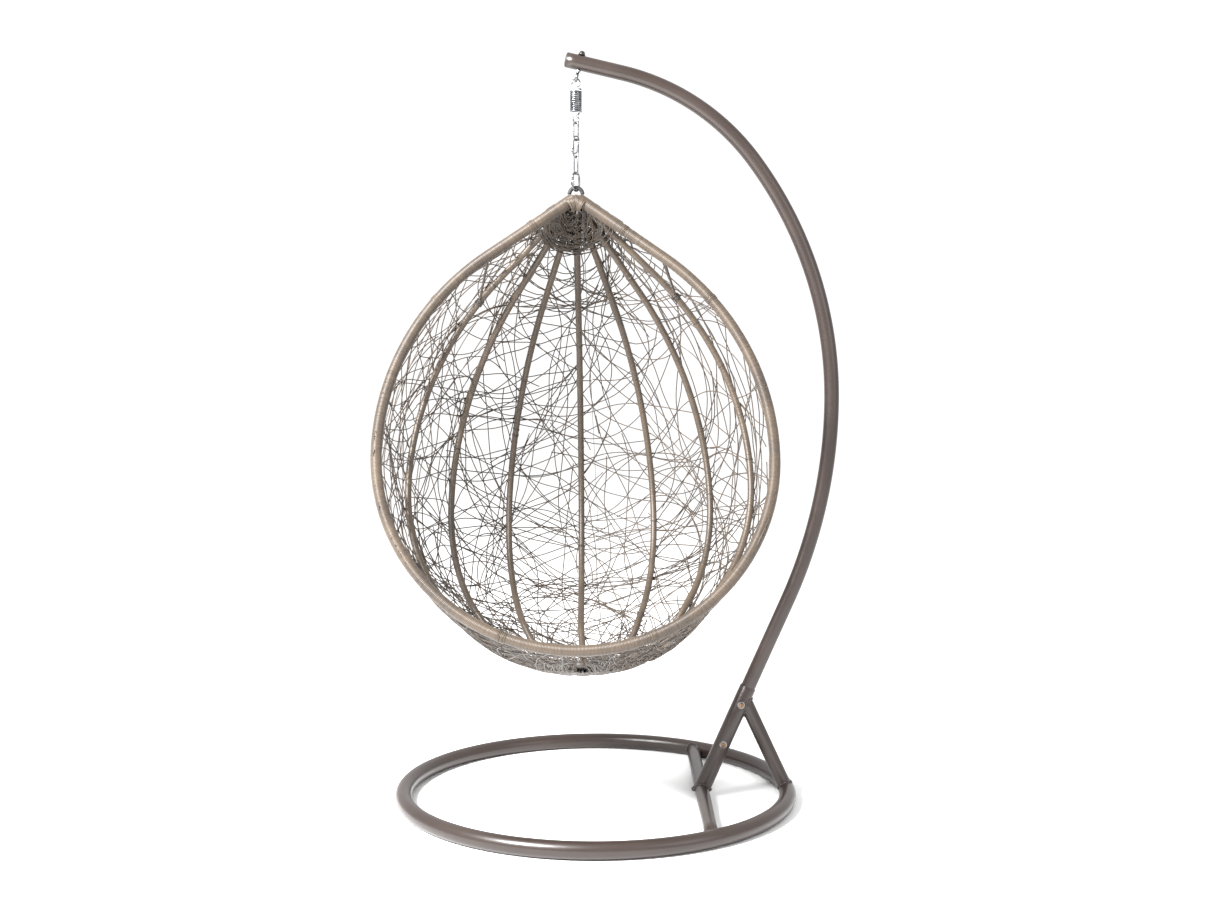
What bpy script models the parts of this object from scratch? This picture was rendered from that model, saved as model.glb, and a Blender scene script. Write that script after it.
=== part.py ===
# Hanging egg chair: a woven basket on a spring and chain, under a curved pole on a ring base.
# Metres, +Z up. The floor is z = 0, the basket's open side faces -Y, and the pole stands at +X.

import math

import bmesh
import bpy
from mathutils import Matrix, Vector

# --- Sizes ---------------------------------------------------------------------------------

gap = 0.0003                    # air left between pieces that touch

ring_radius = 0.500             # base ring, centre line
ring_tube = 0.043
ring_sides = 10                 # leaves a flat facet under the ring
ring_segments = 44
cross_bar_tube = 0.036
cross_bar_reach = 0.278         # from the ring's centre to the cross bar
steel_wall = 0.0015
vent_bore = 0.006               # drain hole under the ring
vent_turn = math.radians(200)

pole_tube = 0.038
lean = math.radians(23.9)       # of the socket and the pole's lower end, from vertical
pole_straight = 0.247           # above the socket, before the first bend
pole_low_bend = 1.296
pole_side_bend = 1.015
pole_side_turn = math.radians(37.1)
pole_top_bend = 0.588
arm_rise = math.radians(13.2)   # of the pole's straight end, above level
arm_length = 0.144
pole_tuck = 0.190               # length of pole inside the socket
plug_spigot = 0.016
plug_face = 0.005
plug_wall = 0.002
plug_inset = 0.0004             # between the plug's rim and the pole's outside

pole_fit = 0.0004               # between the pole and its socket
socket_top_height = 0.2915
brace_tube = 0.037
brace_drop = 0.030              # below the socket's top, where the brace meets it

lock_bolt = 0.008
upper_lock_drop = 0.048         # below the socket's top
lower_lock_drop = 0.162
lock_head = 0.0146
lock_head_height = 0.0045
lock_nut = 0.0135
lock_nut_height = 0.0062
lock_key = 0.0044               # socket for the key in the bolt's head
lock_key_floor = 0.0012
lock_head_round = 0.0016
lock_thread_end = 0.001         # thread past the nut

bolt_inset = 0.033              # eye bolt, back from the end of the pole
eye_wire = 0.007
eye_radius = 0.0090
eye_drop = 0.0275               # from the pole's underside to the bottom of the eye
eye_reach = pole_tube / 2 + eye_drop
washer_size = 0.020
washer_height = 0.0016
cap_nut_size = 0.0155
cap_nut_height = 0.0095
cap_nut_bore_depth = 0.0062
cap_nut_spare = 0.0004          # thread that stops short of the cap nut's bore end
check_nut_size = 0.0140
check_nut_height = 0.0045

spring_wire = 0.0046
spring_size = 0.0310
spring_turns = 10
spring_pitch = 0.0053
coil_steps = 10                 # straight runs in each turn
spring_hook_wire = 0.0035
spring_hook_radius = 0.0103
spring_hook_rise = 0.0300       # from the end coil to the far side of the hook
low_hook_turn = math.radians(50)

link_wire = 0.0034
link_width = 4.23529 * link_wire  # between wire centres, as chain of this wire is made
link_length = 0.0465
link_turns = (math.radians(-34), math.radians(31), math.radians(-51))
spare_shift = 0.88235 * link_wire  # along the first link's crown, beside the second link
spare_tilt = math.radians(17)
spare_ride = 1.20588 * link_wire  # it rides over the second link, this much above the nearest touch

quick_wire = 0.005
quick_width = 0.0280
quick_length = 0.0465
quick_turn = math.radians(55)
quick_gate = 0.0045             # opening that the sleeve nut closes
quick_gate_drop = 0.004         # the gate's middle below the leg's, so that the nut can climb clear of it
quick_nut_size = 0.0098
quick_nut_length = 0.010

bow_rod = 0.0054
bow_width = 0.0335
bow_height = 0.0240             # from the basket's apex to the bow's crown
bow_lift = 0.0035               # its feet end this far above the apex
sleeve_size = 0.0100
sleeve_fit = 0.0007             # between the sleeve and the quick link's wire

basket_tilt = math.radians(21.4)
basket_turn = math.radians(2.5)
basket_roll = math.radians(0.45)  # to its left, so that its weight hangs under the bow
basket_radius = 0.482           # widest half-width of the rim's centre line
apex_angle = math.radians(53.1)  # between the rim and the basket's axis
apex_straight = 0.276
back_depth = 1.35               # depth of the back as a share of its half-width
back_step = 0.023               # ribs start this far behind the rim
rib_turns = (-66.8, -46.7, -24.9, 0.0, 24.9, 46.7, 66.8)
rib_fan_turn = 3.6              # degrees that the whole fan of ribs is turned
hub_place = Vector((0.017, 0.150, -1.180))
hub_radius = 0.030
hub_height = 0.010
hub_pull = 0.84                 # share of the basket's height where ribs start to draw to the hub

rim_tube = 0.020
rim_wrap = 0.028
rim_wall = 0.0012
rib_tube = 0.010
rib_wrap = 0.018
rib_wall = 0.0010
wrap_fit = 0.0004
rim_start = 0.0130              # where the rim tube starts, from the apex
rim_wrap_start = 0.0260
hoop_rod = 0.007
hoop_weld = 0.0022              # between the hoop and the ribs that end at it
hoop_spread = 0.034             # half-width of the crown hoop
rib_bare_top = 0.015            # rib left bare of wrap at the crown, under the cap
rib_bare_low = 0.024            # and at the hub
rib_points = 17
rim_points = 44
strut_rod = 0.007
strut_rim_fall = 0.165          # below the apex, where each strut leaves the rim
strut_rib_fall = 0.215

panel_thickness = 0.0020
panel_set_back = 0.0062         # weave panels sit outside the ribs' centre surface
panel_margin = 0.01245 * basket_radius  # a larger curve has deeper straight runs
panel_top_spread = 0.085        # half-width where the panels start
panel_low_spread = 0.125        # and where they end, at the hub
front_panel_low_spread = 0.040
cap_thickness = 0.0030
cap_lift = 0.0008               # between the rim's wrap and the woven cap
cap_spread = (0.034, 0.086)
hub_bolt = 0.006
hub_bolt_reach = 0.012
hub_edge = 0.002
hub_bolt_head = 0.0116
hub_bolt_head_height = 0.003

# --- Places worked out from the sizes ------------------------------------------------------

ring_height = ring_tube / 2 * math.cos(math.pi / ring_sides)
rim_bend = (basket_radius - apex_straight * math.sin(apex_angle)) / (1 - math.cos(apex_angle))
pole_reach = cross_bar_reach + pole_low_bend * (1 - math.cos(lean))
pole_reach += (socket_top_height - ring_height) * math.tan(lean) + pole_straight * math.sin(lean)
hang_offset = pole_reach - pole_side_bend * (1 - math.cos(pole_side_turn))
hang_offset -= pole_top_bend * (math.cos(pole_side_turn) - math.sin(arm_rise))
hang_offset -= (arm_length - bolt_inset) * math.cos(arm_rise) + eye_reach * math.sin(arm_rise)
ring_x = -(pole_reach + pole_tube / 2 + hang_offset - basket_radius - rim_wrap / 2) / 2
cross_bar_x = ring_x + cross_bar_reach
lean_axis = Vector((math.sin(lean), 0, math.cos(lean)))
socket_foot = Vector((cross_bar_x, 0, ring_height))
socket_length = (socket_top_height - ring_height) / math.cos(lean)
socket_bore = (pole_tube / 2 + pole_fit) / math.cos(math.pi / 16)
socket_radius = socket_bore + steel_wall
drill_turn = Matrix.Rotation(math.radians(5), 4, "Z")   # keeps a drill's facets off the tubes' own

materials = {}
parts = bpy.data.collections.new("hanging_egg_chair")
cutters = bpy.data.collections.new("cutters")


def clear_scene():
    for old in list(bpy.data.objects):
        bpy.data.objects.remove(old, do_unlink=True)
    bpy.context.scene.collection.children.link(parts)
    bpy.context.scene.collection.children.link(cutters)


def material(name, colour, roughness, metallic):
    finish = bpy.data.materials.new(name)
    finish.use_nodes = True
    shader = finish.node_tree.nodes["Principled BSDF"]
    shader.inputs["Base Color"].default_value = (*colour, 1)
    shader.inputs["Roughness"].default_value = roughness
    shader.inputs["Metallic"].default_value = metallic
    finish.diffuse_color = (*colour, 1)
    materials[name] = finish


# --- Mesh helpers --------------------------------------------------------------------------


def add_part(name, mesh, finish, parent=None, place=None):
    piece = bpy.data.objects.new(name, mesh)
    mesh.materials.clear()
    own = materials[finish].copy()
    own.name = name + "_" + finish
    mesh.materials.append(own)
    mesh.shade_smooth()
    mesh.set_sharp_from_angle(angle=math.radians(40))
    parts.objects.link(piece)
    if parent:
        piece.parent = parent
    if place:
        piece.matrix_local = place
    return piece


def add_empty(name, place, parent=None):
    holder = bpy.data.objects.new(name, None)
    holder.empty_display_size = 0.03
    parts.objects.link(holder)
    if parent:
        holder.parent = parent
    holder.matrix_local = place
    return holder


def add_cutter(name, mesh, place=None):
    tool = bpy.data.objects.new(name, mesh)
    tool.display_type = "WIRE"
    tool.hide_render = True
    cutters.objects.link(tool)
    if place:
        tool.matrix_world = place
    return tool


def cut(piece, tool):
    step = piece.modifiers.new("cut " + tool.name, "BOOLEAN")
    step.operation = "DIFFERENCE"
    step.solver = "EXACT"
    step.object = tool


def solidify(piece, wall):
    step = piece.modifiers.new("wall", "SOLIDIFY")
    step.thickness = wall
    step.offset = -1
    step.use_even_offset = True


def along(start, direction, side=Vector((0, 1, 0))):
    """Matrix whose Z runs along direction from start, with Y near side."""
    z = direction.normalized()
    if abs(z.dot(side)) > 0.99:
        side = Vector((1, 0, 0))
    x = side.cross(z).normalized()
    y = z.cross(x)
    return Matrix.Translation(start) @ Matrix((x, y, z)).transposed().to_4x4()


def cylinder_mesh(name, radius, length, sides, caps=True):
    """Cylinder from z = 0 to z = length."""
    bm = bmesh.new()
    bmesh.ops.create_cone(bm, cap_ends=caps, segments=sides, radius1=radius, radius2=radius, depth=length)
    bmesh.ops.translate(bm, verts=bm.verts, vec=(0, 0, length / 2))
    mesh = bpy.data.meshes.new(name)
    bm.to_mesh(mesh)
    bm.free()
    return mesh


def torus_mesh(name, major, minor, major_sides, minor_sides):
    bpy.ops.mesh.primitive_torus_add(
        major_radius=major, minor_radius=minor, major_segments=major_sides, minor_segments=minor_sides
    )
    made = bpy.context.object
    mesh = made.data
    mesh.name = name
    bpy.data.objects.remove(made)
    return mesh


def wire_mesh(name, points, radius, sides_step=2, closed=False, caps=True):
    """A round wire through the points, as a mesh with its caps welded."""
    curve = bpy.data.curves.new(name, "CURVE")
    curve.dimensions = "3D"
    curve.bevel_depth = radius
    curve.bevel_resolution = sides_step
    curve.use_fill_caps = caps and not closed
    curve.twist_mode = "MINIMUM"
    spline = curve.splines.new("POLY")
    spline.points.add(len(points) - 1)
    for node, place in zip(spline.points, points):
        node.co = (*place, 1)
    spline.use_cyclic_u = closed
    carrier = bpy.data.objects.new(name, curve)
    cutters.objects.link(carrier)
    bpy.context.view_layer.update()
    mesh = bpy.data.meshes.new_from_object(carrier.evaluated_get(bpy.context.evaluated_depsgraph_get()))
    mesh.name = name
    bpy.data.objects.remove(carrier)
    bpy.data.curves.remove(curve)
    bm = bmesh.new()
    bm.from_mesh(mesh)
    bmesh.ops.remove_doubles(bm, verts=bm.verts, dist=0.00001)
    bmesh.ops.recalc_face_normals(bm, faces=bm.faces)
    if not caps and not closed:
        outward = sum((f.normal.dot(f.calc_center_median() - nearest(points, f)) for f in bm.faces), 0)
        if outward < 0:
            bmesh.ops.reverse_faces(bm, faces=bm.faces)
    bm.to_mesh(mesh)
    bm.free()
    return mesh


def nearest(points, face):
    middle = face.calc_center_median()
    return min(points, key=lambda place: (Vector(place) - middle).length)


def turned_part(name, outline, sides, finish, parent=None, place=None):
    """Turn (radius, height) points about Z. The outline runs down the outer side."""
    bm = bmesh.new()
    verts = [bm.verts.new((radius, 0, height)) for radius, height in outline]
    for first, second in zip(verts, verts[1:]):
        bm.edges.new((first, second))
    if outline[0][0] > 0 and outline[-1][0] > 0:
        bm.edges.new((verts[-1], verts[0]))
    mesh = bpy.data.meshes.new(name)
    bm.to_mesh(mesh)
    bm.free()
    piece = add_part(name, mesh, finish, parent, place)
    step = piece.modifiers.new("turn", "SCREW")
    step.steps = sides
    step.render_steps = sides
    step.use_merge_vertices = True
    step.merge_threshold = 0.00001
    step.use_smooth_shade = True
    return piece


def nut_part(name, size, top, bottom, rod, finish, parent=None, place=None):
    """Six-sided nut whose flats inside clear the rod."""
    bore = (rod / 2 + gap) / math.cos(math.pi / 6)
    outline = [(size / 2, top), (size / 2, bottom), (bore, bottom), (bore, top)]
    return turned_part(name, outline, 6, finish, parent, place)


def tube_part(name, start, end, radius, wall, sides, finish):
    """Straight open-ended tube between two points."""
    length = (end - start).length
    mesh = cylinder_mesh(name, radius, length, sides, caps=False)
    piece = add_part(name, mesh, finish, place=along(start, end - start))
    solidify(piece, wall)
    return piece


def sleeve_part(name, points, radius, wall, sides_step, finish, parent):
    """Curved open-ended tube along the points."""
    piece = add_part(name, wire_mesh(name, points, radius, sides_step, caps=False), finish, parent)
    solidify(piece, wall)
    return piece


def even_points(points, count):
    """The same path with count points spaced evenly along it."""
    lengths = [0.0]
    for first, second in zip(points, points[1:]):
        lengths.append(lengths[-1] + (second - first).length)
    spaced = []
    index = 0
    for step in range(count):
        reach = lengths[-1] * step / (count - 1)
        while index < len(points) - 2 and lengths[index + 1] < reach:
            index += 1
        share = (reach - lengths[index]) / (lengths[index + 1] - lengths[index])
        spaced.append(points[index].lerp(points[index + 1], share))
    return spaced


# --- Stand ---------------------------------------------------------------------------------


def fat_ring():
    """The base ring plus the gap, to cope what meets it."""
    mesh = torus_mesh("ring_cope", ring_radius, ring_tube / 2 + gap, ring_segments, ring_sides)
    return add_cutter("ring_cope", mesh, Matrix.Translation((ring_x, 0, ring_height)))


def build_base(ring_cope):
    ring = add_part(
        "base_ring",
        torus_mesh("base_ring", ring_radius, ring_tube / 2, ring_segments, ring_sides),
        "stand_coat",
        place=Matrix.Translation((ring_x, 0, ring_height)),
    )
    solidify(ring, steel_wall)
    vent = cylinder_mesh("vent_drill", vent_bore / 2, ring_height, 12)
    vent_x = ring_x + ring_radius * math.cos(vent_turn)
    vent_y = ring_radius * math.sin(vent_turn)
    cut(ring, add_cutter("vent_drill", vent, Matrix.Translation((vent_x, vent_y, -ring_height / 2))))

    half = math.sqrt(ring_radius**2 - cross_bar_reach**2)
    ends = [Vector((cross_bar_x, side * half, ring_height)) for side in (-1, 1)]
    bar = tube_part("cross_bar", *ends, cross_bar_tube / 2, steel_wall, 14, "stand_coat")
    cut(bar, ring_cope)


def lock_place(drop):
    """Middle of a lock bolt, on the socket's axis and pointing at the front."""
    return along(socket_foot + lean_axis * (socket_length - drop), Vector((0, -1, 0)), lean_axis)


def lock_drill(drop, name):
    reach = socket_radius * 2
    mesh = cylinder_mesh(name, lock_bolt / 2 + gap, reach * 2, 16)
    return add_cutter(name, mesh, lock_place(drop) @ Matrix.Translation((0, 0, -reach)) @ drill_turn)


def build_socket(ring_cope, drills):
    socket = tube_part(
        "socket_tube",
        socket_foot,
        socket_foot + lean_axis * socket_length,
        socket_radius,
        steel_wall,
        16,
        "stand_coat",
    )
    bar_cope = cylinder_mesh("bar_cope", cross_bar_tube / 2 + gap, 0.2, 28)
    cut(socket, add_cutter("bar_cope", bar_cope, along(socket_foot - Vector((0, 0.1, 0)), Vector((0, 1, 0)))))
    for drill in drills:
        cut(socket, drill)

    top = socket_foot + lean_axis * (socket_length - brace_drop)
    foot = Vector((ring_x + ring_radius, 0, ring_height))
    brace = tube_part("rear_brace", top, foot, brace_tube / 2, steel_wall, 14, "stand_coat")
    cut(brace, ring_cope)
    socket_cope = cylinder_mesh("socket_cope", socket_radius + gap, socket_length + 0.1, 32)
    cut(brace, add_cutter("socket_cope", socket_cope, along(socket_foot, lean_axis)))


def pole_path():
    """Centre line of the pole, from inside the socket to the open end over the basket."""
    socket_top = socket_foot + lean_axis * socket_length
    points = [socket_top - lean_axis * pole_tuck, socket_top, socket_top + lean_axis * pole_straight]
    heading = lean
    bends = [(pole_low_bend, lean, 8), (pole_side_bend, pole_side_turn, 9)]
    bends.append((pole_top_bend, math.pi / 2 - arm_rise - pole_side_turn, 9))
    for radius, turn, count in bends:
        centre = points[-1] - radius * Vector((math.cos(heading), 0, -math.sin(heading)))
        for step in range(1, count + 1):
            angle = heading - turn * step / count
            points.append(centre + radius * Vector((math.cos(angle), 0, -math.sin(angle))))
        heading -= turn
    points.append(points[-1] + arm_axis() * arm_length)
    return points


def arm_axis():
    return Vector((-math.cos(arm_rise), 0, math.sin(arm_rise)))


def build_pole(drills):
    points = pole_path()
    pole = sleeve_part("pole", points, pole_tube / 2, steel_wall, 4, "stand_coat", None)
    for drill in drills:
        cut(pole, drill)

    tip = points[-1]
    down = Vector((-math.sin(arm_rise), 0, -math.cos(arm_rise)))
    seat = tip - arm_axis() * bolt_inset
    drill = cylinder_mesh("eye_drill", eye_wire / 2 + gap, pole_tube * 2, 16)
    cut(pole, add_cutter("eye_drill", drill, along(seat - down * pole_tube, down) @ drill_turn))

    bore = pole_tube / 2 * math.cos(math.pi / 12) - steel_wall - gap
    outer = pole_tube / 2 - plug_inset
    plug_outline = [
        (0, plug_face),
        (outer * 0.55, plug_face * 0.86),
        (outer * 0.86, plug_face * 0.55),
        (outer, gap),
        (bore, gap),
        (bore, -plug_spigot),
        (bore - plug_wall, -plug_spigot),
        (bore - plug_wall, -plug_wall),
        (0, -plug_wall),
    ]
    turned_part("pole_end_plug", plug_outline, 16, "plug_plastic", place=along(tip, arm_axis()))
    return seat, down


def build_locks():
    for name, drop in (("upper_lock", upper_lock_drop), ("lower_lock", lower_lock_drop)):
        place = lock_place(drop)
        reach = socket_radius + gap
        tail = -reach - lock_nut_height - lock_thread_end
        bolt_outline = [
            (lock_key / 2, reach + lock_head_height),
            (lock_head / 2 - lock_head_round, reach + lock_head_height * 0.86),
            (lock_head / 2, reach + lock_head_height * 0.14),
            (lock_head / 2, reach),
            (lock_bolt / 2, reach),
            (lock_bolt / 2, tail),
            (0, tail),
            (0, reach + lock_key_floor),
            (lock_key / 2, reach + lock_key_floor),
        ]
        turned_part(name + "_bolt", bolt_outline, 16, "lock_brass", place=place)
        nut_part(name + "_nut", lock_nut, -reach, -reach - lock_nut_height, lock_bolt, "zinc", place=place)


# --- Eye bolt, spring and chain ------------------------------------------------------------


def build_eye_bolt(seat, down):
    """Shank through the pole with an eye below. Returns the middle of the eye's lowest wire."""
    place = along(seat, -down)
    crown = pole_tube / 2
    shank_top = crown + 2 * gap + washer_height + cap_nut_bore_depth - cap_nut_spare
    eye_centre = -(eye_reach - eye_radius)
    path = [Vector((0, 0, shank_top)), Vector((0, 0, 0)), Vector((0, 0, eye_centre + eye_radius * 1.4))]
    for step in range(15):
        angle = math.radians(70 - 21.5 * step)
        path.append(Vector((0, eye_radius * math.cos(angle), eye_centre + eye_radius * math.sin(angle))))
    add_part("eye_bolt", wire_mesh("eye_bolt", path, eye_wire / 2, 2), "zinc", place=place)

    washer_outline = [
        (washer_size / 2, crown + gap + washer_height),
        (washer_size / 2, crown + gap),
        (eye_wire / 2 + gap, crown + gap),
        (eye_wire / 2 + gap, crown + gap + washer_height),
    ]
    turned_part("cap_nut_washer", washer_outline, 16, "black_plastic", place=place)
    base = crown + washer_height + 2 * gap
    bore = eye_wire / 2 + gap
    cap_outline = [
        (0, base + cap_nut_height),
        (cap_nut_size * 0.28, base + cap_nut_height * 0.9),
        (cap_nut_size * 0.44, base + cap_nut_height * 0.62),
        (cap_nut_size * 0.5, base + cap_nut_height * 0.3),
        (cap_nut_size * 0.5, base),
        (bore, base),
        (bore, base + cap_nut_bore_depth),
        (0, base + cap_nut_bore_depth),
    ]
    turned_part("eye_bolt_cap_nut", cap_outline, 16, "black_plastic", place=place)
    nut_top = -crown - gap
    nut_part("eye_bolt_nut", check_nut_size, nut_top, nut_top - check_nut_height, eye_wire, "zinc", place=place)
    return seat + down * eye_reach


def build_spring(eye_bottom):
    """Spring with a hook at each end. Returns the middle of the lower hook's lowest wire."""
    hang = Vector((eye_bottom.x, 0, eye_bottom.z + (eye_wire + spring_hook_wire) / 2 + gap))
    swing = add_empty("spring_pivot", Matrix.Translation(hang))
    coil_length = spring_turns * spring_pitch
    coil_radius = (spring_size - spring_wire) / 2
    coil_top = -spring_hook_rise
    hook_centre = -spring_hook_radius
    half_wires = (spring_wire + spring_hook_wire) / 2 + 2 * gap

    def hook_points(end_height, centre, direction, turn):
        side = Vector((math.cos(turn), math.sin(turn), 0))
        made = [side * (coil_radius * 0.55) + Vector((0, 0, end_height))]
        for step in range(15):
            angle = math.radians(-62 + 18.5 * step)
            rise = direction * spring_hook_radius * math.sin(angle)
            made.append(side * (spring_hook_radius * math.cos(angle)) + Vector((0, 0, centre + rise)))
        return made

    top_end = coil_top + half_wires
    top_points = hook_points(top_end, hook_centre, 1, math.pi)
    top_points = [Vector((-point.x, point.y, point.z)) for point in top_points]
    add_part("spring_upper_hook", wire_mesh("spring_upper_hook", top_points, spring_hook_wire / 2, 1), "zinc", swing)

    coil = []
    for step in range(spring_turns * coil_steps + 1):
        angle = 2 * math.pi * step / coil_steps
        height = coil_top - spring_pitch * step / coil_steps
        coil.append(Vector((coil_radius * math.cos(angle), coil_radius * math.sin(angle), height)))
    add_part("spring_coil", wire_mesh("spring_coil", coil, spring_wire / 2, 1), "zinc", swing)

    bottom = coil_top - coil_length
    low_centre = bottom - spring_hook_rise + spring_hook_radius
    lower = add_empty("spring_stretch", Matrix.Translation((0, 0, 0)), swing)
    low_points = hook_points(bottom - half_wires, low_centre, -1, low_hook_turn)
    add_part("spring_lower_hook", wire_mesh("spring_lower_hook", low_points, spring_hook_wire / 2, 1), "zinc", lower)
    return hang + Vector((0, 0, low_centre - spring_hook_radius))


def link_path(width, length, turn, segments=8, top=0.0):
    """Closed stadium hanging down from top, the middle of its upper crown."""
    side = Vector((math.cos(turn), math.sin(turn), 0))
    radius = width / 2
    path = []
    for step in range(segments + 1):
        angle = math.pi * step / segments
        path.append(side * radius * math.cos(angle) + Vector((0, 0, top - radius + radius * math.sin(angle))))
    for step in range(segments + 1):
        angle = math.pi + math.pi * step / segments
        low = top - length + radius
        path.append(side * radius * math.cos(angle) + Vector((0, 0, low + radius * math.sin(angle))))
    return path


def build_chain(hook_bottom):
    """Three links and a spare one. Returns the middle of the last link's lower crown."""
    place = hook_bottom + Vector((0, 0, (spring_hook_wire + link_wire) / 2 + gap))
    for number, turn in enumerate(link_turns, start=1):
        name = "chain_link_%d" % number
        pivot = add_empty(name + "_pivot", Matrix.Translation(place))
        add_part(name, wire_mesh(name, link_path(link_width, link_length, turn), link_wire / 2, 1, True), "zinc", pivot)
        place = place - Vector((0, 0, link_length))
        if number == 1:
            build_spare_link(place, turn)
        place = place + Vector((0, 0, link_wire + gap))
    return place - Vector((0, 0, link_wire + gap))


def build_spare_link(crown, turn):
    """A leftover link that hangs on the first link's lower crown, in front of the second link."""
    axis = Vector((math.cos(turn), math.sin(turn), 0))
    touch = link_wire + gap
    climb = math.sqrt(touch**2 - spare_shift**2)
    place = crown + axis * spare_shift + Vector((0, 0, touch + climb + spare_ride))
    pivot = add_empty("spare_link_pivot", Matrix.Translation(place))
    mesh = wire_mesh("spare_link", link_path(link_width, link_length, link_turns[1]), link_wire / 2, 1, True)
    tilt = Matrix.Rotation(-spare_tilt, 4, axis)
    add_part("spare_link", mesh, "zinc", pivot, tilt)


def build_quick_link(crown, bow_crown):
    """Quick link from the last chain link down to the basket's bow, with its sleeve nut."""
    top = crown + Vector((0, 0, (link_wire + quick_wire) / 2 + gap))
    bottom = bow_crown.z - sleeve_size / 2 - sleeve_fit - quick_wire / 2
    length = top.z - bottom
    pivot = add_empty("quick_link_pivot", Matrix.Translation(top))
    loop = link_path(quick_width, length, quick_turn, 8)
    gate_side = Vector((math.cos(quick_turn), math.sin(quick_turn), 0)) * (-quick_width / 2)
    gate_middle = -length / 2 - quick_gate_drop
    upper_end = gate_side + Vector((0, 0, gate_middle + quick_gate / 2))
    lower_end = gate_side + Vector((0, 0, gate_middle - quick_gate / 2))
    path = [lower_end] + loop[9:] + loop[:9] + [upper_end]
    add_part("quick_link", wire_mesh("quick_link", path, quick_wire / 2, 1), "zinc", pivot)
    half = quick_nut_length / 2
    nut_place = Matrix.Translation(gate_side + Vector((0, 0, gate_middle)))
    nut_part("quick_link_nut", quick_nut_size, half, -half, quick_wire, "zinc", pivot, nut_place)


# --- Basket --------------------------------------------------------------------------------
# Basket points are in its own frame: X right, Y to the back, Z up its axis, apex at the origin.


def outline_points(count=96):
    """Half of the rim's centre line: a straight, a flank bend and a quarter circle."""
    fine = []
    end = Vector((apex_straight * math.sin(apex_angle), 0, -apex_straight * math.cos(apex_angle)))
    fine.extend([Vector((0, 0, 0)), end])
    centre = Vector((basket_radius - rim_bend, 0, end.z - rim_bend * math.sin(apex_angle)))
    for step in range(1, 41):
        angle = apex_angle * (1 - step / 40)
        fine.append(centre + rim_bend * Vector((math.cos(angle), 0, math.sin(angle))))
    centre = Vector((0, 0, fine[-1].z))
    for step in range(1, 61):
        angle = math.pi / 2 * step / 60
        fine.append(centre + basket_radius * Vector((math.cos(angle), 0, -math.sin(angle))))
    return even_points(fine, count)


half_outline = outline_points()
basket_height = -half_outline[-1].z


def smooth_step(value):
    value = min(max(value, 0.0), 1.0)
    return value * value * (3 - 2 * value)


def shell_point(turn, share):
    """Point of the ribs' centre surface at a turn in degrees and a share of the outline."""
    place = share * (len(half_outline) - 1)
    index = min(int(place), len(half_outline) - 2)
    base = half_outline[index].lerp(half_outline[index + 1], place - index)
    back = math.cos(math.radians(turn))
    point = Vector((base.x * math.sin(math.radians(turn)), (back_depth * base.x + back_step) * back, base.z))
    pull = smooth_step((-base.z / basket_height - hub_pull) / (1 - hub_pull))
    front = min(1.0, (90 - abs(turn)) / (90 - rib_turns[-1] - rib_fan_turn))
    target = hub_place - Vector((0, back_step * back, -basket_height))
    return point + target * pull * max(front, 0.0)


def share_at_spread(spread, lower=False):
    """Share of the outline where its half-width equals spread, near the top or the bottom."""
    order = range(len(half_outline))
    if lower:
        order = reversed(order)
    last = 0
    for index in order:
        if half_outline[index].x >= spread:
            break
        last = index
    return last / (len(half_outline) - 1)


def shell_normal(turn, share):
    step_turn = 0.5
    step_share = 0.004
    across = shell_point(turn + step_turn, share) - shell_point(turn - step_turn, share)
    down = shell_point(turn, min(share + step_share, 1)) - shell_point(turn, max(share - step_share, 0))
    return across.cross(down).normalized()


def rib_path(turn, top_clear, low_clear, count):
    """Rib from the crown hoop to the hub, kept clear of both."""
    hoop = shell_point(turn, share_at_spread(hoop_spread))
    fine = []
    for step in range(401):
        share = share_at_spread(hoop_spread) + step / 400 * (1 - share_at_spread(hoop_spread))
        point = shell_point(turn, share)
        level = Vector((point.x - hub_place.x, point.y - hub_place.y, 0)).length
        near_hub = share > 0.8 and level < low_clear
        if (point - hoop).length > top_clear and not near_hub:
            fine.append(point)
    return even_points(fine, count)


def build_rim(frame):
    left = [Vector((-point.x, 0, point.z)) for point in half_outline]
    loop = half_outline + list(reversed(left[:-1]))

    def from_apex(start):
        kept = [point for point in loop if point.length > start]
        first = Vector((math.sin(apex_angle), 0, -math.cos(apex_angle))) * start
        last = Vector((-first.x, 0, first.z))
        return [first] + kept + [last]

    tube = even_points(from_apex(rim_start), rim_points)
    sleeve_part("rim_tube", tube, rim_tube / 2, rim_wall, 2, "frame_coat", frame)
    wrap = even_points(from_apex(rim_wrap_start), rim_points)
    bore = rim_tube / 2 + wrap_fit
    wall = rim_wrap / 2 * math.cos(math.pi / 8) - bore
    sleeve_part("rim_wrap", wrap, rim_wrap / 2, wall, 2, "rattan_wrap", frame)


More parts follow.
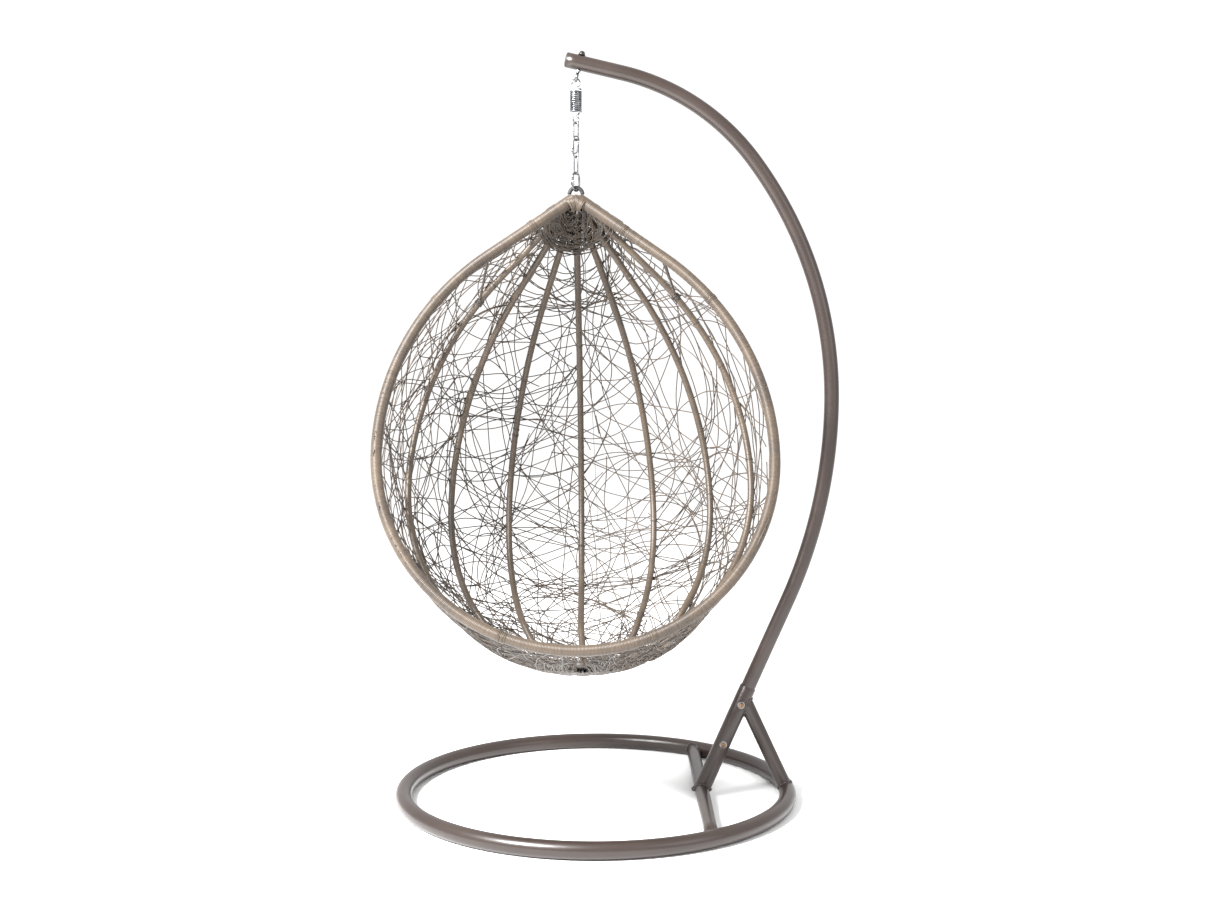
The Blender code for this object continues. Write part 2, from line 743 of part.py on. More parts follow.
def build_ribs(frame):
    hoop_share = share_at_spread(hoop_spread)
    side_clear = rim_tube / 2 + hoop_rod / 2 + gap * 2
    rim_spot = shell_point(90, hoop_share)
    hoop = []
    for step in range(181):
        point = shell_point(-90 + step, hoop_share)
        beside = Vector((abs(point.x), point.y, point.z)) - rim_spot
        if beside.length > side_clear * 1.25:
            hoop.append(point)
    add_part("crown_hoop", wire_mesh("crown_hoop", even_points(hoop, 13), hoop_rod / 2, 2), "frame_coat", frame)

    top_clear = hoop_rod / 2 + hoop_weld
    low_clear = hub_radius + gap * 2
    for number, fan in enumerate(rib_turns, start=1):
        turn = fan + rib_fan_turn
        core = rib_path(turn, top_clear, low_clear, rib_points)
        sleeve_part("rib_tube_%d" % number, core, rib_tube / 2, rib_wall, 1, "frame_coat", frame)
        first = core[0] + (core[1] - core[0]).normalized() * rib_bare_top
        last = core[-1] + (core[-2] - core[-1]).normalized() * rib_bare_low
        bore = rib_tube / 2 + wrap_fit
        wall = rib_wrap / 2 * math.cos(math.pi / 8) - bore
        wrap = [first] + core[1:-1] + [last]
        sleeve_part("rib_wrap_%d" % number, wrap, rib_wrap / 2, wall, 2, "rattan_wrap", frame)


def build_hub(frame):
    place = Matrix.Translation(hub_place)
    bore = hub_bolt / 2 + gap
    hub_outline = [
        (hub_radius - hub_edge, hub_height / 2),
        (hub_radius, hub_height / 2 - hub_edge),
        (hub_radius, -hub_height / 2 + hub_edge),
        (hub_radius - hub_edge, -hub_height / 2),
        (bore, -hub_height / 2),
        (bore, hub_height / 2),
    ]
    turned_part("bottom_hub", hub_outline, 24, "frame_coat", frame, place)
    head = hub_height / 2 + gap
    bolt_outline = [
        (0, head + hub_bolt_head_height),
        (hub_bolt_head * 0.39, head + hub_bolt_head_height * 0.8),
        (hub_bolt_head / 2, head),
        (hub_bolt / 2, head),
        (hub_bolt / 2, -hub_height / 2 - hub_bolt_reach),
        (0, -hub_height / 2 - hub_bolt_reach),
    ]
    turned_part("hub_bolt", bolt_outline, 12, "zinc", frame, place)


def build_struts(frame):
    for name, side in (("left_strut", -1), ("right_strut", 1)):
        rim = [Vector((side * point.x, 0, point.z)) for point in half_outline]
        rib_turn = side * rib_turns[-1] + rib_fan_turn
        rib = [shell_point(rib_turn, step / 400) for step in range(401)]
        rim_spot = min(rim, key=lambda point: abs(point.z + strut_rim_fall))
        rib_spot = min(rib, key=lambda point: abs(point.z + strut_rib_fall))
        clear = strut_rod / 2 + gap
        run = []
        for step in range(101):
            point = rim_spot.lerp(rib_spot, step / 100)
            off_rim = min((point - spot).length for spot in rim) > rim_wrap / 2 + clear
            off_rib = min((point - spot).length for spot in rib) > rib_wrap / 2 + clear
            if off_rim and off_rib:
                run.append(point)
        mesh = wire_mesh(name, [run[0], run[0].lerp(run[-1], 0.5), run[-1]], strut_rod / 2, 2)
        add_part(name, mesh, "rattan_dark", frame)


def turn_clear_of(first, second, share, clear):
    """Turn, going from first towards second, where the shell is clear away from first."""
    start = shell_point(first, share)
    for step in range(1, 200):
        turn = first + (second - first) * step / 200
        if (shell_point(turn, share) - start).length > clear:
            return turn
    return second


def surface_part(name, rows, columns, finish, frame, place_of, wall):
    """Thin shell from a grid whose points place_of(across, down) sets, both from 0 to 1."""
    bm = bmesh.new()
    bmesh.ops.create_grid(bm, x_segments=columns, y_segments=rows, size=0.5)
    for vert in bm.verts:
        vert.co = place_of(vert.co.x + 0.5, vert.co.y + 0.5)
    mesh = bpy.data.meshes.new(name)
    bm.to_mesh(mesh)
    bm.free()
    piece = add_part(name, mesh, finish, frame)
    step = piece.modifiers.new("thickness", "SOLIDIFY")
    step.thickness = wall
    step.offset = 0
    return piece


def build_weave(frame):
    turns = [-90] + [fan + rib_fan_turn for fan in rib_turns] + [90]
    for number, (first, second) in enumerate(zip(turns, turns[1:]), start=1):
        front = first == -90 or second == 90
        top = share_at_spread(panel_top_spread)
        low = share_at_spread(front_panel_low_spread if front else panel_low_spread, lower=True)
        first_side = (rim_wrap if first == -90 else rib_wrap) / 2 + panel_margin
        second_side = (rim_wrap if second == 90 else rib_wrap) / 2 + panel_margin

        def panel_point(across, down, first=first, second=second, top=top, low=low, sides=(first_side, second_side)):
            share = top + (low - top) * down
            from_turn = turn_clear_of(first, second, share, sides[0])
            to_turn = turn_clear_of(second, first, share, sides[1])
            turn = from_turn + (to_turn - from_turn) * across
            return shell_point(turn, share) + shell_normal(turn, share) * panel_set_back

        surface_part("weave_panel_%d" % number, 12, 3, "rattan_weave", frame, panel_point, panel_thickness)

    set_back = rim_wrap / 2 + cap_thickness / 2 + cap_lift

    def cap_point(across, down):
        turn = -90 + 180 * across
        start = share_at_spread(cap_spread[0])
        share = start + (share_at_spread(cap_spread[1]) - start) * down
        return shell_point(turn, share) + shell_normal(turn, share) * set_back

    surface_part("apex_weave_cap", 3, 14, "rattan_dark", frame, cap_point, cap_thickness)


def build_bow(foot, turned):
    """Bow that the basket hangs from, with its rubber sleeve."""
    radius = bow_width / 2
    arch = []
    for step in range(13):
        angle = math.pi * step / 12
        arch.append(Vector((radius * math.cos(angle), 0, radius * (math.sin(angle) - 1))))
    path = [Vector((radius, 0, foot))] + arch + [Vector((-radius, 0, foot))]
    add_part("hanger_bow", wire_mesh("hanger_bow", path, bow_rod / 2, 2), "bow_paint", turned)
    wall = sleeve_size / 2 * math.cos(math.pi / 8) - bow_rod / 2 - gap
    sleeve_part("bow_sleeve", arch, sleeve_size / 2, wall, 2, "black_rubber", turned)


def build_basket(bow_crown, apex):
    turned = add_empty("basket_pivot", Matrix.Translation(bow_crown) @ Matrix.Rotation(basket_turn, 4, "Z"))
    roll = Matrix.Rotation(basket_roll, 4, "Y")
    tilt = Matrix.Translation(apex - bow_crown) @ roll @ Matrix.Rotation(-basket_tilt, 4, "X")
    frame = add_empty("basket_frame", tilt, turned)
    build_bow(bow_lift - bow_height, turned)
    build_rim(frame)
    build_ribs(frame)
    build_hub(frame)
    build_struts(frame)
    build_weave(frame)


def main():
    clear_scene()
    material("stand_coat", (0.19, 0.145, 0.125), 0.42, 0.25)
    material("plug_plastic", (0.17, 0.13, 0.115), 0.5, 0.0)
    material("lock_brass", (0.55, 0.34, 0.2), 0.35, 0.9)
    material("zinc", (0.62, 0.63, 0.64), 0.28, 0.95)
    material("black_plastic", (0.02, 0.02, 0.02), 0.4, 0.0)
    material("black_rubber", (0.015, 0.015, 0.015), 0.6, 0.0)
    material("bow_paint", (0.09, 0.05, 0.04), 0.45, 0.2)
    material("frame_coat", (0.16, 0.12, 0.1), 0.5, 0.2)
    material("rattan_wrap", (0.42, 0.32, 0.22), 0.55, 0.0)
    material("rattan_weave", (0.36, 0.27, 0.19), 0.55, 0.0)
    material("rattan_dark", (0.22, 0.16, 0.12), 0.55, 0.0)

    ring_cope = fat_ring()
    drills = [lock_drill(upper_lock_drop, "upper_lock_drill"), lock_drill(lower_lock_drop, "lower_lock_drill")]
    build_base(ring_cope)
    build_socket(ring_cope, drills)
    seat, down = build_pole(drills)
    build_locks()
    eye_bottom = build_eye_bolt(seat, down)
    hook_bottom = build_spring(eye_bottom)
    crown = build_chain(hook_bottom)
    hang = Vector((crown.x, 0, crown.z))
    bow_crown = hang - Vector((0, 0, quick_length - (link_wire + quick_wire) / 2 - gap))
    bow_crown = bow_crown + Vector((0, 0, (quick_wire + sleeve_size) / 2 + sleeve_fit))
    apex = bow_crown - Vector((0, 0, bow_height))
    build_quick_link(crown, bow_crown)
    build_basket(bow_crown, apex)
    for finish in materials.values():
        bpy.data.materials.remove(finish)
    print("ring centre x %.4f, hang line x %.4f %.4f" % (ring_x, crown.x, ring_x + hang_offset))
    print("eye %.4f, hook %.4f, crown %.4f" % (eye_bottom.z, hook_bottom.z, crown.z))
    print("bow %.4f, apex %.4f, basket height %.4f" % (bow_crown.z, apex.z, basket_height))


main()
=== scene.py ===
import math
import random

import bpy
import numpy as np
from mathutils import Matrix, Vector


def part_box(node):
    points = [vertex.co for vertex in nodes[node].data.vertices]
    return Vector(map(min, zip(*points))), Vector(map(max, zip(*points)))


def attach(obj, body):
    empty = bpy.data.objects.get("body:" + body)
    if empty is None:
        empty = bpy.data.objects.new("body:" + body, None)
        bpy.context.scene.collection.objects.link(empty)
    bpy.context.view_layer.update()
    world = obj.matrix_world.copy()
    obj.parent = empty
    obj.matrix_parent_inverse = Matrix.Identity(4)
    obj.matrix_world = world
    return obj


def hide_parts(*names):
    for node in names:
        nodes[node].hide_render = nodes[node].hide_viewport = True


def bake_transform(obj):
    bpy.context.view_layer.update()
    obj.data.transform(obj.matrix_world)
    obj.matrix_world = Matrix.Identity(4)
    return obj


# Hanging egg chair: a wicker basket on a spring and chain, under a curved pole on a ring base.

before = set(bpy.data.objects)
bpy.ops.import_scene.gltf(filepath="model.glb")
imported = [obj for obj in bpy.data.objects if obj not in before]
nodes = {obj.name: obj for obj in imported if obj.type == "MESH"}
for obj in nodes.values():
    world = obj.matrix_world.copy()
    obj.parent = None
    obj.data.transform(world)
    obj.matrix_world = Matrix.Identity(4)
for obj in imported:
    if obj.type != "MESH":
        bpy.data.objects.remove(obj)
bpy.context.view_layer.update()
rng = random.Random(41)

bpy.context.scene.view_settings.view_transform = "Standard"


def middle(node):
    low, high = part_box(node)
    return (low + high) / 2


ringX = middle("base_ring").x
hangX = middle("hanger_bow").x
barX = middle("cross_bar").x

view = {"place": (0.0298, -3.8717, 1.1381), "pitch": 3.568, "lens": 44.48}


def addCamera():
    camera = bpy.data.objects.new("camera", bpy.data.cameras.new("camera"))
    camera.data.lens = view["lens"]
    camera.data.sensor_width = 36
    camera.location = Vector(view["place"]) + Vector((ringX, 0, 0))
    camera.rotation_euler = (math.radians(90 - view["pitch"]), 0, 0)
    bpy.context.scene.collection.objects.link(camera)
    bpy.context.scene.camera = camera


addCamera()

# Finishes


def newMaterial(name, roughness, metallic=0.0):
    made = bpy.data.materials.new(name)
    made.use_nodes = True
    shader = made.node_tree.nodes["Principled BSDF"]
    shader.inputs["Roughness"].default_value = roughness
    shader.inputs["Metallic"].default_value = metallic
    return made, made.node_tree, shader


def addNode(tree, kind, **inputs):
    node = tree.nodes.new(kind)
    for key, value in inputs.items():
        node.inputs[key.replace("_", " ")].default_value = value
    return node


def colourRamp(tree, source, stops):
    ramp = tree.nodes.new("ShaderNodeValToRGB")
    while len(ramp.color_ramp.elements) < len(stops):
        ramp.color_ramp.elements.new(0.5)
    for element, (place, colour) in zip(ramp.color_ramp.elements, stops):
        element.position = place
        element.color = (*colour, 1)
    tree.links.new(source, ramp.inputs["Fac"])
    return ramp.outputs["Color"]


def bump(tree, shader, height, strength, distance):
    node = addNode(tree, "ShaderNodeBump", Strength=strength, Distance=distance)
    tree.links.new(height, node.inputs["Height"])
    tree.links.new(node.outputs["Normal"], shader.inputs["Normal"])


coat = {
    "dark": (0.0200, 0.0128, 0.0104),
    "light": (0.0275, 0.0182, 0.0150),
    "roughness": (0.27, 0.36),
    "peel": 520.0,          # size of the powder coat's orange peel, per metre
}


def coatFinish(name, spec):
    made, tree, shader = newMaterial(name, 0.4)
    place = tree.nodes.new("ShaderNodeTexCoord")
    cloud = addNode(tree, "ShaderNodeTexNoise", Scale=7.0, Detail=4.0)
    tree.links.new(place.outputs["Object"], cloud.inputs["Vector"])
    colour = colourRamp(tree, cloud.outputs["Fac"], ((0.3, spec["dark"]), (0.7, spec["light"])))
    tree.links.new(colour, shader.inputs["Base Color"])
    gloss = tree.nodes.new("ShaderNodeMapRange")
    gloss.inputs["To Min"].default_value, gloss.inputs["To Max"].default_value = spec["roughness"]
    speck = addNode(tree, "ShaderNodeTexNoise", Scale=60.0, Detail=6.0)
    tree.links.new(place.outputs["Object"], speck.inputs["Vector"])
    tree.links.new(speck.outputs["Fac"], gloss.inputs["Value"])
    tree.links.new(gloss.outputs["Result"], shader.inputs["Roughness"])
    peel = addNode(tree, "ShaderNodeTexNoise", Scale=spec["peel"], Detail=2.0)
    tree.links.new(place.outputs["Object"], peel.inputs["Vector"])
    bump(tree, shader, peel.outputs["Fac"], 0.35, 0.0004)
    return made


metalFinishes = {
    "zinc": {"dark": (0.055, 0.058, 0.062), "light": (0.25, 0.26, 0.27), "roughness": (0.16, 0.34)},
    "lockBrass": {"dark": (0.10, 0.052, 0.03), "light": (0.24, 0.15, 0.09), "roughness": (0.25, 0.42)},
}


def metalFinish(name, spec):
    made, tree, shader = newMaterial(name, 0.3, 1.0)
    place = tree.nodes.new("ShaderNodeTexCoord")
    stain = addNode(tree, "ShaderNodeTexNoise", Scale=95.0, Detail=5.0)
    tree.links.new(place.outputs["Object"], stain.inputs["Vector"])
    colour = colourRamp(tree, stain.outputs["Fac"], ((0.28, spec["dark"]), (0.66, spec["light"])))
    tree.links.new(colour, shader.inputs["Base Color"])
    gloss = tree.nodes.new("ShaderNodeMapRange")
    gloss.inputs["To Min"].default_value, gloss.inputs["To Max"].default_value = spec["roughness"]
    tree.links.new(stain.outputs["Fac"], gloss.inputs["Value"])
    tree.links.new(gloss.outputs["Result"], shader.inputs["Roughness"])
    scratch = addNode(tree, "ShaderNodeTexNoise", Scale=900.0, Detail=3.0)
    tree.links.new(place.outputs["Object"], scratch.inputs["Vector"])
    bump(tree, shader, scratch.outputs["Fac"], 0.2, 0.0001)
    return made


darkFinishes = {
    "blackRubber": {
        "dark": (0.006, 0.006, 0.006), "light": (0.018, 0.018, 0.018), "roughness": 0.62, "grain": 700.0,
    },
    "blackPlastic": {
        "dark": (0.006, 0.006, 0.006), "light": (0.012, 0.012, 0.012), "roughness": 0.32, "grain": 400.0,
    },
    "bowPaint": {
        "dark": (0.013, 0.007, 0.005), "light": (0.024, 0.012, 0.009), "roughness": 0.42, "grain": 450.0,
    },
    "plugPlastic": {
        "dark": (0.018, 0.012, 0.010), "light": (0.026, 0.018, 0.015), "roughness": 0.48, "grain": 500.0,
    },
    "frameCoat": {
        "dark": (0.015, 0.010, 0.007), "light": (0.026, 0.018, 0.013), "roughness": 0.5, "grain": 420.0,
    },
}


def plainFinish(name, spec):
    made, tree, shader = newMaterial(name, spec["roughness"])
    place = tree.nodes.new("ShaderNodeTexCoord")
    grain = addNode(tree, "ShaderNodeTexNoise", Scale=spec["grain"], Detail=4.0)
    tree.links.new(place.outputs["Object"], grain.inputs["Vector"])
    colour = colourRamp(tree, grain.outputs["Fac"], ((0.3, spec["dark"]), (0.7, spec["light"])))
    tree.links.new(colour, shader.inputs["Base Color"])
    bump(tree, shader, grain.outputs["Fac"], 0.3, 0.0002)
    return made


# Wicker strand. Tone is each strand's own shade, and the grain runs along the strand.
wickerFinishes = {
    "wickerWound": {
        "shade": (0.0249, 0.0162, 0.0104), "lit": (0.0654, 0.0447, 0.0275), "grain": (160.0, 9.0),
        "roughness": 0.46,
    },
    "wickerRib": {
        "shade": (0.0353, 0.0235, 0.0147), "lit": (0.0679, 0.0466, 0.0285), "grain": (160.0, 9.0),
        "roughness": 0.46,
    },
    "wickerStrand": {
        "shade": (0.0155, 0.0100, 0.0067), "lit": (0.0507, 0.0339, 0.0211), "grain": (70.0, 16.0),
        "roughness": 0.44,
    },
    "wickerDark": {
        "shade": (0.0086, 0.0054, 0.0037), "lit": (0.0249, 0.0158, 0.0100), "grain": (70.0, 16.0),
        "roughness": 0.5,
    },
}


def wickerFinish(name, spec):
    made, tree, shader = newMaterial(name, spec["roughness"])
    tone = tree.nodes.new("ShaderNodeAttribute")
    tone.attribute_name = "tone"
    spread = tree.nodes.new("ShaderNodeUVMap")
    spread.uv_map = "strandRun"
    stretch = tree.nodes.new("ShaderNodeMapping")
    stretch.inputs["Scale"].default_value = (spec["grain"][0], spec["grain"][1], 1)
    tree.links.new(spread.outputs["UV"], stretch.inputs["Vector"])
    grain = addNode(tree, "ShaderNodeTexNoise", Scale=1.0, Detail=4.0)
    tree.links.new(stretch.outputs["Vector"], grain.inputs["Vector"])
    both = tree.nodes.new("ShaderNodeMath")
    both.operation = "MULTIPLY_ADD"
    both.inputs[1].default_value = 0.55
    tree.links.new(grain.outputs["Fac"], both.inputs[0])
    tree.links.new(tone.outputs["Fac"], both.inputs[2])
    colour = colourRamp(tree, both.outputs["Value"], ((0.2, spec["shade"]), (1.15, spec["lit"])))
    tree.links.new(colour, shader.inputs["Base Color"])
    bump(tree, shader, grain.outputs["Fac"], 0.5, 0.0004)
    shader.inputs["Sheen Weight"].default_value = 0.12
    return made


finishes = {"standCoat": coatFinish("standCoat", coat)}
for finishName, finishSpec in metalFinishes.items():
    finishes[finishName] = metalFinish(finishName, finishSpec)
for finishName, finishSpec in darkFinishes.items():
    finishes[finishName] = plainFinish(finishName, finishSpec)
for finishName, finishSpec in wickerFinishes.items():
    finishes[finishName] = wickerFinish(finishName, finishSpec)
print("finishes made")

# Mesh tools


def unit(vectors):
    return vectors / np.linalg.norm(vectors, axis=-1, keepdims=True)


def pathFrames(path, closed):
    # Two directions square to the path at each point, with no twist along it.
    ahead = np.roll(path, -1, 0) - np.roll(path, 1, 0) if closed else np.gradient(path, axis=0)
    tangent = unit(ahead)
    current = np.array([0.0, 0.0, 1.0]) if abs(tangent[0][2]) < 0.9 else np.array([1.0, 0.0, 0.0])
    side = np.zeros_like(path)
    for index in range(len(path)):
        current = unit(current - tangent[index] * current.dot(tangent[index]))
        side[index] = current
    over = np.cross(tangent, side)
    if closed:
        last = unit(side[-1] - tangent[0] * side[-1].dot(tangent[0]))
        twist = math.atan2(last.dot(over[0]), last.dot(side[0]))
        turn = -twist * np.arange(len(path)) / len(path)
        side, over = (
            side * np.cos(turn)[:, None] + over * np.sin(turn)[:, None],
            over * np.cos(turn)[:, None] - side * np.sin(turn)[:, None],
        )
    return side, over


def tube(path, radius, closed=False, tone=0.5, rounded=True):
    # One tube of a bundle. Radius and tone are one number or one for each point.
    path = np.array([tuple(point) for point in path], float)
    radius = np.broadcast_to(np.asarray(radius, float), len(path)).copy()
    tone = np.broadcast_to(np.asarray(tone, float), len(path)).copy()
    if not closed:
        ends = []
        for here, beside in ((0, 1), (-1, -2)):
            out = unit(path[here] - path[beside]) * radius[here]
            bulge = (0.35, 0.5) if rounded else (0.0005, 0.001)
            ends.append([path[here] + out * bulge[0], path[here] + out * bulge[1]])
        first, last = ends
        path = np.vstack([[first[1], first[0]], path, [last[0], last[1]]])
        near = 0.72 if rounded else 0.999
        radius = np.concatenate([[1e-5, radius[0] * near], radius, [radius[-1] * near, 1e-5]])
        tone = np.concatenate([[tone[0]] * 2, tone, [tone[-1]] * 2])
    return {"path": path, "radius": radius, "tone": tone, "closed": closed}


def bundle(name, tubes, sides, finish, body, replaced=(), flat=False):
    # All the tubes as one mesh, with the run along each strand as its map, riding on a body.
    angles = 2 * math.pi * np.arange(sides) / sides
    around = np.stack([np.cos(angles), np.sin(angles)], 1)
    spots, quads, maps, tones = [], [], [], []
    count = 0
    for one in tubes:
        path, closed = one["path"], one["closed"]
        side, over = pathFrames(path, closed)
        ring = around[:, 0][None, :, None] * side[:, None, :] + around[:, 1][None, :, None] * over[:, None, :]
        spots.append((path[:, None, :] + ring * one["radius"][:, None, None]).reshape(-1, 3))
        tones.append(np.repeat(one["tone"], sides))
        rows = len(path) if closed else len(path) - 1
        row = np.arange(rows)[:, None]
        column = np.arange(sides)[None, :]
        following = (row + 1) % len(path)
        beside = (column + 1) % sides
        quad = np.stack([
            row * sides + column, following * sides + column,
            following * sides + beside, row * sides + beside,
        ], -1).reshape(-1, 4)
        quads.append(quad + count)
        step = np.linalg.norm(np.diff(path, axis=0), axis=1)
        run = np.concatenate([[0.0], np.cumsum(step), [step.sum() + step[0]]])
        low = np.broadcast_to(run[row], (rows, sides))
        high = np.broadcast_to(run[row + 1], (rows, sides))
        near = np.broadcast_to(column / sides, (rows, sides))
        far = np.broadcast_to((column + 1) / sides, (rows, sides))
        maps.append(np.stack([low, near, high, near, high, far, low, far], -1).reshape(-1, 2))
        count += len(path) * sides
    return meshPiece(name, spots, quads, maps, tones, finish, body, replaced, flat)


def meshPiece(name, spots, quads, maps, tones, finish, body, replaced=(), flat=False):
    mesh = bpy.data.meshes.new(name)
    mesh.from_pydata(np.vstack(spots), [], np.vstack(quads))
    layer = mesh.uv_layers.new(name="strandRun")
    layer.data.foreach_set("uv", np.vstack(maps).astype(np.float32).ravel())
    tone = mesh.attributes.new("tone", "FLOAT", "POINT")
    tone.data.foreach_set("value", np.concatenate(tones).astype(np.float32))
    mesh.validate()
    if flat:
        mesh.shade_smooth()
        mesh.set_sharp_from_angle(angle=math.radians(32))
    else:
        mesh.shade_smooth()
    mesh.materials.append(finishes[finish])
    piece = bpy.data.objects.new(name, mesh)
    bpy.context.scene.collection.objects.link(piece)
    if isinstance(body, str):
        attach(piece, body)
    if replaced:
        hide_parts(*replaced)
    return piece


def lathe(name, outline, sides, matrix, finish, body, replaced=(), shape=None):
    # Turns (radius, height) points about the matrix's Z. Shape may pull each angle's radius in, as on a nut.
    outline = np.array([(max(radius, 1e-5), height) for radius, height in outline])
    angles = 2 * math.pi * np.arange(sides) / sides
    pull = np.ones((len(outline), sides)) if shape is None else shape(outline, angles)
    x = outline[:, :1] * pull * np.cos(angles)[None, :]
    y = outline[:, :1] * pull * np.sin(angles)[None, :]
    z = np.broadcast_to(outline[:, 1:], x.shape)
    local = np.stack([x, y, z, np.ones_like(x)], -1).reshape(-1, 4)
    spots = (local @ np.array(matrix).T)[:, :3]
    rows = len(outline) - 1
    row = np.arange(rows)[:, None]
    column = np.arange(sides)[None, :]
    beside = (column + 1) % sides
    quad = np.stack([
        row * sides + column, row * sides + beside, (row + 1) * sides + beside, (row + 1) * sides + column,
    ], -1).reshape(-1, 4)
    run = np.concatenate([[0.0], np.cumsum(np.linalg.norm(np.diff(outline, axis=0), axis=1))])
    low = np.broadcast_to(run[row], (rows, sides))
    high = np.broadcast_to(run[row + 1], (rows, sides))
    near = np.broadcast_to(column / sides, (rows, sides))
    far = np.broadcast_to((column + 1) / sides, (rows, sides))
    maps = np.stack([low, near, low, far, high, far, high, near], -1).reshape(-1, 2)
    return meshPiece(name, [spots], [quad], [maps], [np.full(len(spots), 0.5)], finish, body, replaced, True)


def hexPull(outline, angles):
    # Six flats. Rings at the outer radius are pulled in to the flats.
    across = outline[:, 0].max() * math.cos(math.pi / 6)
    local = (angles + math.pi / 6) % (math.pi / 3) - math.pi / 6
    flat = across / np.cos(local)[None, :]
    return np.minimum(1.0, flat / outline[:, :1])


def along(start, direction, side=(0, 1, 0)):
    # Matrix whose Z runs along direction from start, with Y near side.
    z = Vector(direction).normalized()
    side = Vector(side)
    if abs(z.dot(side)) > 0.99:
        side = Vector((1, 0, 0))
    x = side.cross(z).normalized()
    y = z.cross(x)
    return Matrix.Translation(start) @ Matrix((x, y, z)).transposed().to_4x4()


def arcPoints(centre, first, second, radius, start, end, count):
    # Points round a centre in the plane of two directions, from one angle to another, in degrees.
    made = []
    for step in range(count + 1):
        angle = math.radians(start + (end - start) * step / count)
        made.append(centre + (first * math.cos(angle) + second * math.sin(angle)) * radius)
    return made


# Stand

ringSize = {"radius": 0.500, "tube": 0.0215, "segments": 180, "sides": 32}
barSize = {"radius": 0.018}
socketSize = {"radius": 0.0213, "lean": 23.9, "top": 0.2915}
braceSize = {"radius": 0.0185, "drop": 0.030}
poleSize = {
    "radius": 0.019, "tuck": 0.190, "straight": 0.247,
    "bends": ((1.296, 23.9), (1.015, 37.1), (0.588, 15.8 + 23.9)),   # radius and turn of each bend
    "rise": 13.2, "arm": 0.144,
}
weldSize = {"radius": 0.0034, "points": 84, "ripple": 0.0007}

leanTurn = math.radians(socketSize["lean"])
leanAxis = Vector((math.sin(leanTurn), 0, math.cos(leanTurn)))
ringHeight = 0.02045
ringMiddle = Vector((ringX, 0, ringSize["tube"]))
socketFoot = Vector((barX, 0, ringHeight))
socketLength = (socketSize["top"] - ringHeight) / math.cos(leanTurn)
socketTop = socketFoot + leanAxis * socketLength


def insideRing(point):
    flat = Vector((point.x - ringX, point.y, 0)).length - ringSize["radius"]
    return math.hypot(flat, point.z - ringMiddle.z) < ringSize["tube"]


def insideTube(point, start, direction, radius):
    offset = point - start
    return (offset - direction * offset.dot(direction)).length < radius


def weldBead(name, start, direction, radius, inside):
    # Rippled bead where a tube that runs along direction meets another piece.
    place = along(start, direction)
    loop = []
    for step in range(weldSize["points"]):
        angle = 2 * math.pi * step / weldSize["points"]
        spot = place @ Vector((radius * math.cos(angle), radius * math.sin(angle), 0))
        for _ in range(400):
            if inside(spot):
                break
            spot = spot + direction * 0.0005
        spot.z = max(spot.z, weldSize["radius"] + weldSize["ripple"])   # clear of the floor
        loop.append(spot)
    ripple = [
        weldSize["radius"] + weldSize["ripple"] * math.sin(step * 1.5) for step in range(weldSize["points"])
    ]
    return bundle(name, [tube(loop, ripple, True)], 10, "standCoat", "stand")


def buildBase():
    loop = [
        ringMiddle + Vector((math.cos(angle), math.sin(angle), 0)) * ringSize["radius"]
        for angle in np.linspace(0, 2 * math.pi, ringSize["segments"], endpoint=False)
    ]
    bundle(
        "baseRing", [tube(loop, ringSize["tube"], True)], ringSize["sides"], "standCoat", "stand",
        ("base_ring",),
    )
    half = math.sqrt(ringSize["radius"] ** 2 - (barX - ringX) ** 2)
    ends = [Vector((barX, side * half, ringHeight)) for side in (-1, 1)]
    bar = [ends[0].lerp(ends[1], step / 10) for step in range(11)]
    bundle(
        "crossBar", [tube(bar, barSize["radius"], rounded=False)], 32, "standCoat", "stand",
        ("cross_bar",),
    )
    for number, side in enumerate((-1, 1), start=1):
        start = Vector((barX, side * (half - 0.07), ringHeight))
        weldBead(f"barWeld{number}", start, Vector((0, side, 0)), barSize["radius"], insideRing)


def openTube(name, start, end, radius, wall, replaced, lip):
    # Tube whose top end is open, with a rounded lip.
    length = (end - start).length
    outline = [
        (radius, 0), (radius, length * 0.5), (radius, length - lip), (radius - lip * 0.3, length - lip * 0.3),
        (radius - lip, length), (radius - wall + lip * 0.3, length), (radius - wall, length - lip),
        (radius - wall, length - 0.05),
    ]
    return lathe(name, outline, 48, along(start, end - start), "standCoat", "stand", replaced)


def buildSocket():
    openTube("socketTube", socketFoot, socketTop, socketSize["radius"], 0.0018, ("socket_tube",), 0.0008)
    braceTop = socketFoot + leanAxis * (socketLength - braceSize["drop"])
    braceFoot = Vector((ringX + ringSize["radius"], 0, ringHeight))
    down = (braceFoot - braceTop).normalized()
    run = [braceTop.lerp(braceFoot, step / 10) for step in range(11)]
    bundle(
        "rearBrace", [tube(run, braceSize["radius"], rounded=False)], 36, "standCoat", "stand",
        ("rear_brace",),
    )
    halfway = braceTop.lerp(braceFoot, 0.5)
    weldBead("braceFootWeld", halfway, down, braceSize["radius"], insideRing)
    weldBead("braceTopWeld", halfway, -down, braceSize["radius"],
             lambda spot: insideTube(spot, socketFoot, leanAxis, socketSize["radius"]))
    weldBead("socketWeld", socketFoot + leanAxis * 0.09, -leanAxis, socketSize["radius"],
             lambda spot: spot.z < ringHeight
             or insideTube(spot, socketFoot, Vector((0, 1, 0)), barSize["radius"]))


def armAxis():
    rise = math.radians(poleSize["rise"])
    return Vector((-math.cos(rise), 0, math.sin(rise)))


